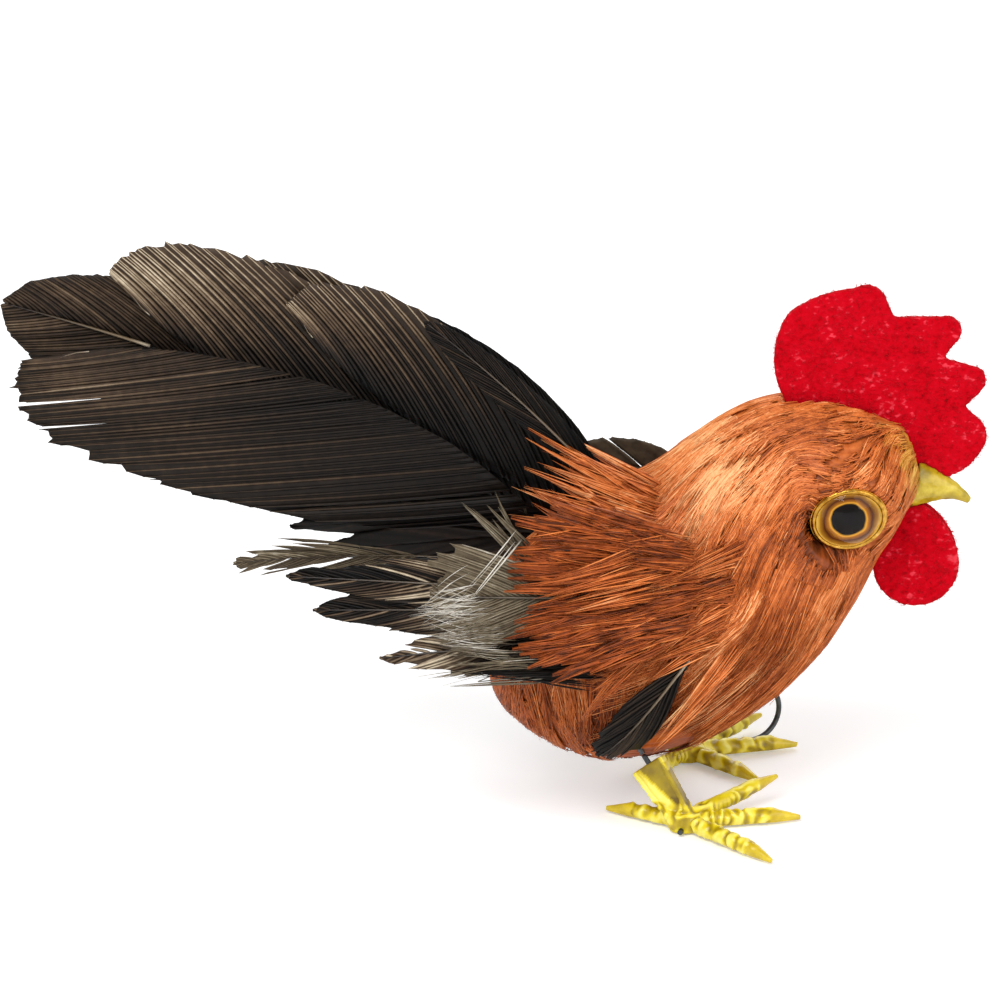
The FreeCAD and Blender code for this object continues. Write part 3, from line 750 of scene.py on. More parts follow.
class RoosterFeltSettings(bpy.types.PropertyGroup):
    """Size and colour of the felt."""

    color: bpy.props.FloatVectorProperty(
        name="Felt colour", description="Dye of the comb and wattles", default=(0.72, 0.0, 0.065), subtype="COLOR"
    )
    fuzz: bpy.props.IntProperty(name="Fuzz", description="Loose fibres on each felt piece", default=2600, min=0)


class RoosterStageSettings(bpy.types.PropertyGroup):
    """Camera and floor."""

    distance: bpy.props.FloatProperty(
        name="Camera distance", description="From the camera to the bird", default=0.95, unit="LENGTH"
    )
    elevation: bpy.props.FloatProperty(
        name="Elevation", description="Camera height above level", default=math.radians(20), subtype="ANGLE"
    )


# ------------------------------------------------------------------ plumage


def base_skin(relief):
    """The matted layer under the strands: a closed skin with ridges that follow the fibres."""
    rows, cols = 300, 300
    t = np.linspace(0.0, 1.0, rows)
    turn = np.linspace(0, 2 * math.pi, cols, endpoint=False)
    tt, aa = np.meshgrid(t, turn, indexing="ij")
    point, normal, _, _ = SURFACE.local(tt, aa)
    ridge = np.stack([point[..., 0] * 260 + point[..., 2] * 200, aa * 46 + 3 * np.sin(point[..., 0] * 420)], -1)
    height = smooth_noise(ridge, 1.0, 4) + 0.5 * smooth_noise(ridge * 2.1, 1.0, 5)
    fade = np.clip(np.minimum(tt, 1 - tt) / 0.05, 0, 1)
    point = point + normal * ((height - 0.9) * relief * fade)[..., None]
    # ridge tops painted lighter and the grooves darker: painted light and shade on the relief
    shade = plumage_tone_and_light(point) + 0.20 * (height - 0.75)
    index = np.arange(rows * cols).reshape(rows, cols)
    quads = np.stack(
        [index[:-1], np.roll(index, -1, 1)[:-1], np.roll(index, -1, 1)[1:], index[1:]], -1
    ).reshape(-1, 4)
    rear = point[0].mean(0)
    face = point[-1].mean(0)
    points = np.concatenate([point.reshape(-1, 3), [rear, face]])
    last = len(points)
    ring = np.arange(cols)
    rear_fan = np.stack([np.full(cols, last - 2), np.roll(index[0], -1)[ring], index[0][ring]], -1)
    face_fan = np.stack([np.full(cols, last - 1), index[-1][ring], np.roll(index[-1], -1)[ring]], -1)
    tone = np.concatenate([shade.ravel(), [0.5, 0.5]])
    attributes = {"tone": tone, "along": np.zeros(len(points)), "stain": face_paint(points)}
    triangles = np.concatenate([rear_fan, face_fan])
    return mesh_object("matted_skin", points, quads, triangles, attributes, shared("rust", rust_fibre))


def face_paint(points):
    """Where the plumage is painted yellow: round the beak's root."""
    low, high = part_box("beak")
    root = np.array([low.x + 0.0045, 0.0, high.z + 0.0005])
    gap = np.linalg.norm((points - root) / (np.array([6.6, 6.4, 6.0]) * MM), axis=-1)
    return np.clip(1.6 - 1.4 * gap + 0.8 * (smooth_noise(points, 1500, 8) - 0.5), 0, 1)


def plumage_tone_and_light(points):
    """How light the plumage is at a place: dyed dark behind the eye, pale on the back of the neck (mostly a painted
    highlight, partly paler dye), and painted shade low on the belly.
    """
    eye = np.array(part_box("right_eye_cup")[0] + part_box("right_eye_cup")[1]) / 2
    tone = np.full(points.shape[:-1], 0.52)
    mirrored = points.copy()
    mirrored[..., 1] = -np.abs(mirrored[..., 1])

    def blob(offset, radius, amount):
        centre = eye + np.array(offset) * MM
        gap = np.linalg.norm((mirrored - centre) / (np.array(radius) * MM), axis=-1)
        return amount * np.exp(-gap ** 2)

    # back of the neck: mostly a painted highlight where the light falls, partly paler dye
    tone += blob((-15, 6, 4), (7, 12, 6), 0.36)
    tone += blob((-5.5, 1, -4), (4.5, 7, 5.5), -0.36)
    tone += blob((-1, 3, -10), (6, 9, 6), 0.06)
    tone += blob((-9, 0, -14), (8, 9, 7), -0.08)
    # low on the belly: painted shade
    tone += blob((-30, 0, -24), (12, 12, 9), -0.20)
    tone += 0.30 * (smooth_noise(points, 330, 21) - 0.5)
    return tone


def tufts(seed, starts, ways, lengths, count, spread, width, lifts, tone, steps=5, gather=0.7):
    """Pointed tufts of strands laid over the body.

    starts is (share, turn) for each tuft, ways the angle from tailward, lifts (root, tip) in metres.
    """
    rng = np.random.default_rng(seed)
    t0 = np.repeat(starts[0], count)
    a0 = np.repeat(starts[1], count)
    total = len(t0)
    way = np.repeat(ways, count) + rng.normal(0, 0.05, total)
    length = np.repeat(lengths, count) * rng.uniform(0.75, 1.1, total)
    rise = np.linspace(0, 1, steps)[None, :]
    high = rng.uniform(0.4, 1.3, (total, 1))
    lift = lifts[0] + (lifts[1] - lifts[0]) * rise ** 1.5 * high
    paths, normals = SURFACE.place(t0, a0, way, length, steps, lift)
    along = unit(np.gradient(paths, axis=1))
    side = unit(np.cross(normals, along))
    off = np.repeat(spread, count) * rng.normal(0, 0.5, total)
    close = (1 - gather * rise ** 1.2)[..., None]
    paths = paths + side * off[:, None, None] * close
    wave = 0.10 * MM * np.sin(rise * rng.uniform(3, 9, (total, 1)) + rng.uniform(0, 6, (total, 1)))
    paths = paths + side * wave[..., None]
    taper = np.array([0.7, 1.0, 0.9, 0.6, 0.2]) if steps == 5 else np.linspace(1, 0.25, steps)
    widths = width * taper[None, :] * rng.uniform(0.6, 1.3, (total, 1))
    shade = tone(paths.mean(1)) + rng.normal(0, 0.10, total) + np.repeat(rng.normal(0, 0.05, len(starts[0])), count)
    return paths, normals, widths, np.clip(shade, 0, 1)


def random_starts(rng, count, low, high):
    """Random shares between low and high, and turns all round."""
    return rng.uniform(low, high, count), rng.uniform(0, 2 * math.pi, count)


def flow_angle(t, turn):
    """How far the plumage turns down from straight back: most on the flanks."""
    low = np.clip((1 - np.cos(turn)) / 1.2, 0, 1)
    rear = np.clip((0.40 - t) / 0.25, 0, 1)
    return 0.10 + 1.35 * rear * low + 0.18 * np.abs(np.sin(turn))


class ROOSTER_OT_plumage(bpy.types.Operator):
    """Lay the matted skin and the strands over the foam body"""

    bl_idname = "rooster.plumage"
    bl_label = "Plumage"

    def execute(self, context):
        settings = context.scene.rooster_plumage
        skin = base_skin(settings.relief)
        finish_piece(skin, "bird", "rust_fibre", ("foam_core", "neck_plumage"))
        rng = np.random.default_rng(11)
        self.locks(rng, settings)
        for name, node, low, high, count, length, each, lift in self.FIELDS:
            starts = random_starts(rng, count, low, high)
            ways = flow_angle(*starts) + rng.normal(0, 0.10, count)
            lengths = length * MM * rng.uniform(0.6, 1.35, count)
            spread = 0.9 * MM * rng.uniform(0.5, 1.3, count)
            parts = tufts(
                count, starts, ways, lengths, each, spread, settings.strand_width,
                (0.24 * MM, lift * MM), plumage_tone_and_light,
            )
            self.strands(name, parts, (node,) if node else ())
        return {"FINISHED"}

    # long locks on each side: x and z from and to (millimetres), length, turn down, locks, tone
    LOCKS = (
        (6, 33, 17, 27, 26, 0.05, 12, 0.66), (2, 31, 10, 22, 22, 0.12, 12, 0.60),
        (9, 37, 14, 31, 14, 0.25, 10, 0.44), (-1, 33, 6, 29, 16, 0.50, 10, 0.56),
        (14, 30, 20, 36, 12, 0.05, 7, 0.64), (0, 24, 7, 16, 17, 0.20, 10, 0.72),
        (-16, 27, -22, 20, 12, 1.30, 10, 0.60), (-8, 24, -15, 22, 13, 1.10, 10, 0.40),
    )

    def locks(self, rng, settings):
        """Long glossy locks that sweep from the cheeks and shoulders down to the belly."""
        for side, out in (("right", -1), ("left", 1)):
            parts = []
            for x0, z0, x1, z1, length, way, count, tone in self.LOCKS:
                share = rng.uniform(0, 1, count)
                places = [SURFACE.nearest((x0 + (x1 - x0) * a) * MM, (z0 + (z1 - z0) * a) * MM, out) for a in share]
                starts = np.array(places).T + rng.normal(0, 0.008, (2, count))
                ways = way + rng.normal(0, 0.10, count)
                lengths = length * MM * rng.uniform(0.65, 1.1, count)
                spread = 1.3 * MM * rng.uniform(0.6, 1.3, count)
                parts.append(tufts(
                    int(length * 10 + count), starts, ways, lengths, 16, spread, settings.strand_width * 1.1,
                    (0.35 * MM, 1.1 * MM), lambda points, tone=tone: np.full(len(points), tone), 8, 0.75,
                ))
            joined = [np.concatenate(each) for each in zip(*parts)]
            self.strands(side + "_locks", joined, ())

    # name, node replaced, shares of the body from and to, tufts, length and strands of each, lift
    FIELDS = (
        ("head_strands", None, 0.80, 0.97, 620, 3.4, 9, 0.30),
        ("neck_strands", None, 0.60, 0.84, 800, 5.4, 10, 0.36),
        ("breast_strands", "breast_plumage", 0.40, 0.66, 620, 11.0, 12, 0.55),
        ("rear_strands", "vent_plumage", 0.03, 0.46, 700, 8.5, 12, 0.5),
    )

    def strands(self, name, parts, nodes):
        """One object of plumage strands, none of them close round a leg."""
        legs = [joint["pos_m"] for joint in frame["record"]["behaviour"]["joints"] if "leg_bend" in joint["name"]]
        gaps = [np.linalg.norm(parts[0] - np.array(leg), axis=-1).min(1) for leg in legs]
        kept = np.min(gaps, axis=0) > 5.6 * MM
        paths, normals, widths, shade = [part[kept] for part in parts]
        stain = face_paint(paths.mean(1))
        # 0.10 paints a highlight along each strand's middle and shade along its edges
        piece = fibre_object(
            name, paths, normals, widths, 0.45, shade, shared("rust", rust_fibre), 0.10, stain
        )
        finish_piece(piece, "bird", "rust_fibre", nodes)


# loose strands: first root, last root, first tip, last tip (millimetres, on the right side),
# sideways bulge, tufts, strands in each, spread, strand width, tone, finish
FANS = {
    "saddle": (
        ((-3, -4, 43.0), (-8, -11, 37.5), (-22.5, -2.2, 52.5), (-24.5, -8.5, 44.0), 2.0, 13, 18, 0.9, 0.22, 0.62, "rust"),
        ((-5, -6, 42.0), (-10, -12, 36.0), (-19.0, -3.5, 49.5), (-21.0, -9.5, 41.0), 2.4, 12, 18, 1.0, 0.24, 0.50, "rust"),
        ((-8, -3, 41.5), (-12, -10, 36.0), (-17.0, -2.5, 47.5), (-18.0, -9.0, 40.0), 1.6, 10, 18, 1.0, 0.24, 0.40, "rust"),
    ),
    "shoulder_band": (
        ((0.5, -12.0, 38.8), (-3, -13.5, 36.5), (-24.0, -9.5, 42.0), (-22.5, -11.5, 38.5), 2.6, 6, 20, 1.1, 0.22, 0.60, "rust"),
        ((6, -10.0, 38.5), (5, -13.5, 29.0), (-7, -18.3, 37.0), (-9, -18.3, 27.5), 1.4, 22, 16, 1.3, 0.22, 0.52, "rust"),
        ((2, -13.0, 33.5), (3, -14.5, 27.0), (-13, -18.6, 27.0), (-8, -18.0, 22.0), 1.6, 12, 16, 1.2, 0.22, 0.58, "rust"),
        ((-4, -18.0, 36.5), (-9, -18.3, 38.5), (-23, -18.9, 32.0), (-22, -18.9, 35.5), 1.2, 10, 12, 1.0, 0.20, 0.50, "rust"),
    ),
    "bronze_tuft": (
        ((-20, -10, 36.5), (-23, -12, 35.5), (-25.5, -8.0, 44.5), (-31.0, -8.5, 43.0), 0.8, 6, 12, 0.8, 0.22, 0.44, "grey"),
    ),
    "pale_quills": (
        ((-21.5, -14.0, 42.3), (-22.5, -14.5, 41.2), (-31.5, -18.6, 33.5), (-32.5, -18.6, 32.5), 2.4, 2, 3, 0.5, 0.15, 0.92, "grey"),
    ),
    "white_fluff": (
        ((-29, -18.3, 35.0), (-27, -18.3, 30.5), (-36.0, -19.0, 33.5), (-37.5, -18.4, 29.0), 1.4, 12, 6, 3.2, 0.08, 0.84, "grey"),
        ((-27, -18.4, 32.0), (-23, -18.2, 28.0), (-35.5, -18.8, 29.5), (-33.0, -18.4, 27.0), 1.4, 12, 7, 2.6, 0.09, 0.62, "grey"),
    ),
    "under_wing_dark": (
        ((-13, -17.3, 26.5), (-12, -16.6, 23.0), (-33.0, -16.6, 24.5), (-29.0, -16.0, 21.0), 0.8, 10, 14, 1.0, 0.22, 0.18, "dark"),
        ((-18, -17.3, 26.0), (-17, -16.6, 22.5), (-38.0, -15.6, 25.0), (-35.0, -15.4, 22.0), 0.6, 7, 8, 0.8, 0.20, 0.56, "grey"),
    ),
    "flank_sweep": (
        ((3.0, -14.0, 31.0), (-3, -16.5, 29.5), (-10.0, -17.5, 22.0), (-18.0, -17.8, 23.5), 2.2, 6, 12, 0.9, 0.20, 0.60, "rust"),
        ((5.0, -14.0, 27.0), (4, -14.5, 23.0), (-6.0, -15.0, 13.0), (-9.0, -13.0, 9.0), 2.4, 5, 14, 0.8, 0.22, 0.64, "rust"),
        ((-5.0, -16.0, 27.0), (-9, -16.5, 26.5), (-16.0, -16.0, 14.5), (-19.0, -15.5, 17.0), 2.4, 3, 6, 0.8, 0.18, 0.56, "rust"),
    ),
}
FINISHES = {"rust": ("rust_fibre", rust_fibre), "grey": ("grey_feather", grey_barbs), "dark": ("black_feather", dark_barbs)}


def fan(rng, row, out):
    """The strands of one row of tufts; out is -1 for the right side and 1 for the left."""
    first_root, last_root, first_tip, last_tip, bulge, count, each, spread, width, tone, _ = row
    flip = np.array([1, -out, 1]) * MM
    share = (np.arange(count) + rng.uniform(0.1, 0.9, count)) / count
    root = (np.array(first_root) + (np.array(last_root) - first_root) * share[:, None]) * flip
    tip = (np.array(first_tip) + (np.array(last_tip) - first_tip) * share[:, None]) * flip
    root = root + rng.normal(0, 0.9 * MM, (count, 3)) * np.array([1, 0.1, 1])
    stretch = rng.uniform(0.72, 1.05, (count, 1))
    tip = root + (tip - root) * stretch + rng.normal(0, 0.8 * MM, (count, 3))
    steps = 7
    total = count * each
    late = rng.uniform(0, 0.38, (total, 1, 1)) ** 1.3
    v = late + (1 - late) * np.linspace(0, 1, steps)[None, :, None]
    root = np.repeat(root, each, 0)[:, None, :]
    tip = np.repeat(tip, each, 0)[:, None, :]
    way = unit(tip - root)
    outward = np.array([0.0, float(out), 0.35])
    outward = unit(outward - way * np.sum(outward * way, -1, keepdims=True))
    side = np.cross(way, outward)
    length = np.linalg.norm(tip - root, axis=-1, keepdims=True)
    reach = rng.uniform(0.70, 1.0, (total, 1, 1))
    path = root + (tip - root) * v * reach + outward * bulge * MM * np.sin(v * math.pi) * 0.9
    close = 1 - 0.86 * v ** 1.3
    loose = rng.normal(0, 0.5 * spread * MM, (total, 1, 1))
    deep = rng.uniform(0, 0.7 * MM, (total, 1, 1))
    path = path + side * loose * close + outward * deep * close
    curl = np.repeat(rng.normal(0, 0.035, count), each)[:, None, None]
    path = path + side * curl * length * v * v
    path = SURFACE.keep_off(path, 0.45 * MM)
    dip = np.clip(1 - np.linspace(0, 1, steps) / 0.3, 0, 1)[None, :, None]
    path = path - outward * 0.6 * MM * dip
    ups = np.broadcast_to(outward, path.shape)
    taper = np.interp(np.linspace(0, 1, steps), (0, 0.2, 0.6, 1.0), (0.15, 1.0, 0.8, 0.12))[None, :]
    widths = width * MM * taper * rng.uniform(0.7, 1.3, (total, 1))
    shade = tone + rng.normal(0, 0.10, total) + np.repeat(rng.normal(0, 0.07, count), each)
    return path, ups, widths, shade


class ROOSTER_OT_loose(bpy.types.Operator):
    """Lay the loose tufts over the saddle, the shoulders and the flanks"""

    bl_idname = "rooster.loose"
    bl_label = "Loose tufts"
    # rows that the far side doesn't have
    LEFT_OUT = {"saddle": 2, "shoulder_band": 1}

    def execute(self, context):
        for number, (name, rows) in enumerate(FANS.items()):
            slot, make = FINISHES[rows[0][-1]]
            for side, out in (("right", -1), ("left", 1)):
                rng = np.random.default_rng(500 + number)
                parts = []
                left_out = self.LEFT_OUT.get(name, 0) if side == "left" else 0
                for row in rows[left_out:]:
                    path, ups, widths, shade = fan(rng, row, out)
                    finish = FINISHES[row[-1]][1]
                    # 0.12 paints a highlight along each strand's middle and shade along its edges
                    parts.append(fibre_object(
                        "part", path, ups, widths, 0.45, shade, shared(row[-1], finish), 0.12,
                    ))
                piece = join(parts, f"{side}_{name}_strands")
                nodes = ("saddle_plumage",) if name == "saddle" else ()
                finish_piece(piece, "bird", slot, nodes)
        return {"FINISHED"}


# ------------------------------------------------------------------ tail and wings


# ridge in the looks below is the painted highlight along each barb and the painted shade at its edges
LOBE = {
    "quill_at": -1.0, "quill": 0.16 * MM, "quill_from": 0.9, "pitch": 0.48 * MM, "ridge": 0.22, "edge": 0.8,
    "steps": 14, "streak": 0.07,
}
TAIL_LOOKS = {
    "tail_feather_1": {"tone": 0.14, "angle": 12, "curl": 0.02, "pitch": 0.25 * MM},
    "tail_feather_2": {
        "tone": 0.10, "upper": 0.28, "lower": 0.5, "droop": 0.03, "bow": 0.05, "ridge": 0.06, "streak": 0.04,
    },
    "tail_feather_3": {**LOBE, "tone": 0.34},
    "tail_feather_4": {**LOBE, "tone": 0.30},
    "tail_feather_5": {**LOBE, "tone": 0.40},
    "tail_feather_6": {
        "tone": 0.34, "pitch": 0.36 * MM, "ridge": 0.10, "edge": 0.14, "quill": 0.5 * MM, "quill_from": 0.76,
        "streak": 0.05, "ragged": 0.008,
    },
    "tail_feather_7": {
        "tone": 0.31, "pitch": 0.34 * MM, "ridge": 0.09, "quill_at": 1.0, "quill": 0.16 * MM, "steps": 14,
        "quill_from": 0.9, "angle": 19, "edge": 0.14, "slits": 0.03, "splits": 0.06, "streak": 0.06,
    },
    "tail_feather_8": {
        "tone": 0.22, "pitch": 0.32 * MM, "splits": 0.12, "ruffle": 0.02, "worn": 0.04, "slits": 0.05,
        "quill_at": 1.0, "quill": 0.16 * MM, "quill_from": 0.9, "angle": 16, "steps": 12,
    },
    "tail_wisp": {
        "tone": 0.36, "pitch": 0.20 * MM, "splits": 0.2, "ruffle": 0.05, "ragged": 0.2, "fullness": 1.1,
        "down": 0.1 * MM, "slits": 0.08, "start": 0.45, "angle": 12, "quill": 0.2 * MM,
    },
}


def nearer_the_body(points):
    """Black at the tail's root, brown towards its end."""
    return 0.16 * np.clip((-points[..., 0] - 0.050) / 0.03, -2.2, 0.5)


def cloudy(points):
    """Uneven dye."""
    return 0.16 * (smooth_noise(points, 260, 3) - 0.5)


class ROOSTER_OT_tail(bpy.types.Operator):
    """Build the tail fan, feather by feather"""

    bl_idname = "rooster.tail"
    bl_label = "Tail"

    def execute(self, context):
        settings = context.scene.rooster_feathers
        for number, (node, look) in enumerate(TAIL_LOOKS.items()):
            options = {"angle": math.degrees(settings.angle), "tone_by": (nearer_the_body, cloudy)}
            options.update(look)
            material = shared("dark", dark_barbs) if node != "tail_wisp" else shared("grey", grey_barbs)
            slot = "grey_feather" if node == "tail_wisp" else "black_feather"
            feather = feather_object(node + "_vane", 100 + number, blade_frame(node), material, options)
            finish_piece(feather, "bird", slot, (node,))
        return {"FINISHED"}


# ridge in the looks below is the painted highlight along each barb and the painted shade at its edges
WING_LOOKS = {
    "primary_1": ("brown_feather", {
        "tone": 0.52, "splits": 0.3, "ruffle": 0.05, "ragged": 0.06, "worn": 0.16, "streak": 0.2, "upper": 0.4,
        "slits": 0.10, "narrow": 0.5, "angle": 13,
    }),
    "primary_2": ("brown_feather", {
        "tone": 0.24, "splits": 0.25, "ruffle": 0.03, "worn": 0.10, "streak": 0.16, "slits": 0.05, "narrow": 0.45,
        "angle": 12,
    }),
    "primary_3": ("brown_feather", {
        "tone": 0.20, "splits": 0.25, "ruffle": 0.03, "worn": 0.14, "streak": 0.2, "slits": 0.05, "narrow": 0.45,
        "angle": 11, "ridge": 0.24,
    }),
    "covert_feather": ("grey_feather", {
        "tone": 0.42, "splits": 0.06, "ruffle": 0.02, "ragged": 0.04, "angle": 20, "fullness": 1.3,
        "ridge": 0.10, "pitch": 0.26 * MM, "down": 0.25 * MM,
    }),
    "flank_feather": ("brown_feather", {
        "tone": 0.20, "splits": 0.2, "ruffle": 0.04, "ragged": 0.06, "angle": 14, "ridge": 0.16,
        "streak": 0.07, "quill": 0.5 * MM, "start": 0.02, "fullness": 1.4,
    }),
}


def tan_at_the_root(points):
    """Olive-tan where the primaries come out from under the coverts."""
    return 0.34 * np.clip(1 - np.abs(points[..., 0] + 0.0345) / 0.006, 0, 1)


def lay_on_the_flank(points):
    """Points laid over the plumage of the body."""
    return SURFACE.keep_off(points, 1.6 * MM, True)


def flank_blade(out, width):
    """The dark feather's frame, from under the shoulder down to the belly; out is -1 on the right."""
    ends, normals = [], []
    for x, z in ((-1.0, 26.5), (-13.5, 9.5)):
        t, turn = SURFACE.nearest(x * MM, z * MM, out)
        point, normal, _, _ = SURFACE.local(np.array([t]), np.array([turn]))
        ends.append(point[0])
        normals.append(normal[0])
    facing = unit(normals[0] + normals[1])
    way = unit(ends[1] - ends[0])
    facing = unit(facing - way * (facing @ way))
    clear = facing * 5 * MM
    return ends[0] + clear, ends[1] + clear, np.cross(facing, way), facing, width


class ROOSTER_OT_wings(bpy.types.Operator):
    """Build both wings: primaries, coverts, shoulders and flank feathers"""

    bl_idname = "rooster.wings"
    bl_label = "Wings"

    def execute(self, context):
        for side in ("right", "left"):
            for number, (kind, (slot, look)) in enumerate(WING_LOOKS.items()):
                node = f"{side}_{kind}"
                material = shared("grey", grey_barbs) if slot == "grey_feather" else shared("dark", dark_barbs)
                options = {"pitch": 0.32 * MM, "bow": 0.0, "cup": 0.02}
                options.update(look)
                if kind.startswith("primary"):
                    options["tone_by"] = (tan_at_the_root,)
                if kind == "flank_feather":
                    options["lay"] = lay_on_the_flank
                blade = blade_frame(node)
                if side == "left":
                    root, tip, across, facing, width = blade
                    blade = (root, tip, across, -facing, width)
                if kind == "flank_feather":
                    blade = flank_blade(1 if side == "left" else -1, 6.6 * MM)
                feather = feather_object(node + "_vane", 200 + number, blade, material, options)
                finish_piece(feather, "bird", slot, (node,))
            self.shoulder(side)
        self.far_shoulder()
        return {"FINISHED"}

    def far_shoulder(self):
        """The smooth brown feather along the top of the left wing."""
        low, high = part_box("left_shoulder_plumage")
        root = np.array([high.x, high.y - 5.5 * MM, high.z - 4.4 * MM])
        tip = np.array([high.x - 17.5 * MM, high.y - 5 * MM, high.z - 2.6 * MM])
        way = unit(tip - root)
        facing = unit(np.array([0.0, 1.0, 0.0]) - way * way[1])
        # ridge here is the painted highlight along each barb and the painted shade at its edges
        options = {
            "tone": 0.22, "pitch": 0.3 * MM, "bow": 0.0, "ridge": 0.08, "angle": 34, "quill": 0.2 * MM,
            "streak": 0.04, "fullness": 1.4,
        }
        blade = (root, tip, np.cross(facing, way), facing, 7.4 * MM)
        feather = feather_object("left_shoulder_vane", 260, blade, shared("grey", grey_barbs), options)
        finish_piece(feather, "bird", "grey_feather")

    def shoulder(self, side):
        """A fluffy rust patch with pointed ends."""
        node = side + "_shoulder_plumage"
        root, tip, across, facing, width = blade_frame(node)
        out = -1 if side == "right" else 1
        if facing[1] * out < 0:
            facing = -facing
        rng = np.random.default_rng(31)
        count = 240
        each = 12
        length = np.linalg.norm(tip - root)
        way = unit(tip - root)
        share = rng.uniform(0.0, 0.70, count)
        half = width / 2 * np.sqrt(np.clip(1 - (2 * share - 0.9) ** 2, 0.05, 1))
        off = rng.uniform(-1, 1 if side == "right" else 0.1, count) * half
        start = root + way * (share * length)[:, None] + across * off[:, None]
        start = start + facing * rng.uniform(0.0, 0.6, (count, 1)) * MM
        fan = off / half * 0.28 + rng.normal(0, 0.10, count)
        heading = way * np.cos(fan)[:, None] + across * np.sin(fan)[:, None]
        reach = rng.uniform(5, 10, count) * MM
        start = np.repeat(start, each, 0)
        heading = np.repeat(heading, each, 0)
        reach = np.repeat(reach, each)
        total = count * each
        steps = 5
        v = np.linspace(0, 1, steps)[None, :, None]
        late = rng.uniform(0, 0.4, (total, 1, 1))
        v = late + (1 - late) * v
        loose = rng.normal(0, 0.45 * MM, (total, 1, 1)) * across[None, None, :]
        path = start[:, None, :] + heading[:, None, :] * reach[:, None, None] * v + loose * (1 - 0.75 * v)
        path = path + facing * (0.8 * MM * rng.uniform(0.2, 1.0, (total, 1, 1)) * np.sin(v * 2.4))
        normals = np.broadcast_to(facing, path.shape)
        widths = 0.20 * MM * np.array([0.2, 1, 0.9, 0.6, 0.15])[None, :] * rng.uniform(0.6, 1.3, (total, 1))
        shade = 0.44 + rng.normal(0, 0.10, total) + np.repeat(rng.normal(0, 0.04, count), each)
        piece = fibre_object(
            side + "_shoulder_strands", path, normals, widths, 0.5, np.clip(shade, 0, 1), shared("rust", rust_fibre)
        )
        finish_piece(piece, "bird", "rust_feather", (node,))


# ------------------------------------------------------------------ felt


def felt_material(color):
    """Needled red felt: cloudy, with pale flecks."""

    def make():
        material, tree, shader = new_material("Red felt")
        cloud = object_noise(tree, 350, 5.0)
        fleck = object_noise(tree, 1300, 2.0, (1, 1, 1.4))
        mask = math_node(tree, "ADD", cloud, math_node(tree, "MULTIPLY", math_node(tree, "SUBTRACT", fleck, 0.5), 0.9))
        red = tuple(color)
        dark = tuple(c * 0.70 for c in red)
        pale = tuple(min(1.0, c * 0.9 + 0.22) for c in red)
        stops = ((0.10, dark), (0.36, red), (0.66, (red[0] * 1.05, 0.02, 0.10)), (0.78, pale))
        tree.links.new(ramp(tree, mask, stops), shader.inputs["Base Color"])
        shader.inputs["Roughness"].default_value = 0.95
        shader.inputs["Sheen Weight"].default_value = 0.03
        shader.inputs["Sheen Roughness"].default_value = 0.5
        shader.inputs["Specular IOR Level"].default_value = 0.04
        bump(tree, shader, fleck, 0.00025, 0.8)
        return material

    return make


def remeshed_copy(node, name, voxel):
    """A copy of a CAD node, closed up and evenly meshed."""
    source = frame["nodes"][node]
    mesh = source.data.copy()
    mesh.materials.clear()
    copy = bpy.data.objects.new(name, mesh)
    bpy.context.scene.collection.objects.link(copy)
    deselect_all()
    copy.select_set(True)
    bpy.context.view_layer.objects.active = copy
    bpy.ops.object.mode_set(mode="EDIT")
    bpy.ops.mesh.select_all(action="SELECT")
    bpy.ops.mesh.remove_doubles(threshold=0.00001)
    bpy.ops.mesh.normals_make_consistent(inside=False)
    bpy.ops.object.mode_set(mode="OBJECT")
    remesh = copy.modifiers.new("even", "REMESH")
    remesh.mode = "VOXEL"
    remesh.voxel_size = voxel
    bpy.ops.object.modifier_apply(modifier=remesh.name)
    return copy


def smooth_by(piece, factor, rounds):
    """Rounds a piece's edges off."""
    deselect_all()
    piece.select_set(True)
    bpy.context.view_layer.objects.active = piece
    modifier = piece.modifiers.new("soften", "SMOOTH")
    modifier.factor = factor
    modifier.iterations = rounds
    bpy.ops.object.modifier_apply(modifier=modifier.name)


def cut_area(node):
    """The area of one side of a flat cut piece."""
    mesh = frame["nodes"][node].data
    areas = np.empty(len(mesh.polygons))
    normals = np.empty(len(mesh.polygons) * 3)
    mesh.polygons.foreach_get("area", areas)
    mesh.polygons.foreach_get("normal", normals)
    normals = normals.reshape(-1, 3)
    flat = normals[areas.argmax()]
    return float(areas[normals @ flat > 0.95].sum())


# each felt piece's cut size in metres, and how it is held
FELT_CUTS = {
    "comb": ((0.0273, 0.0262), "stretched"),
    "right_wattle": ((0.0110, 0.0134), "hung"),
    "left_wattle": ((0.0110, 0.0134), "hung"),
}


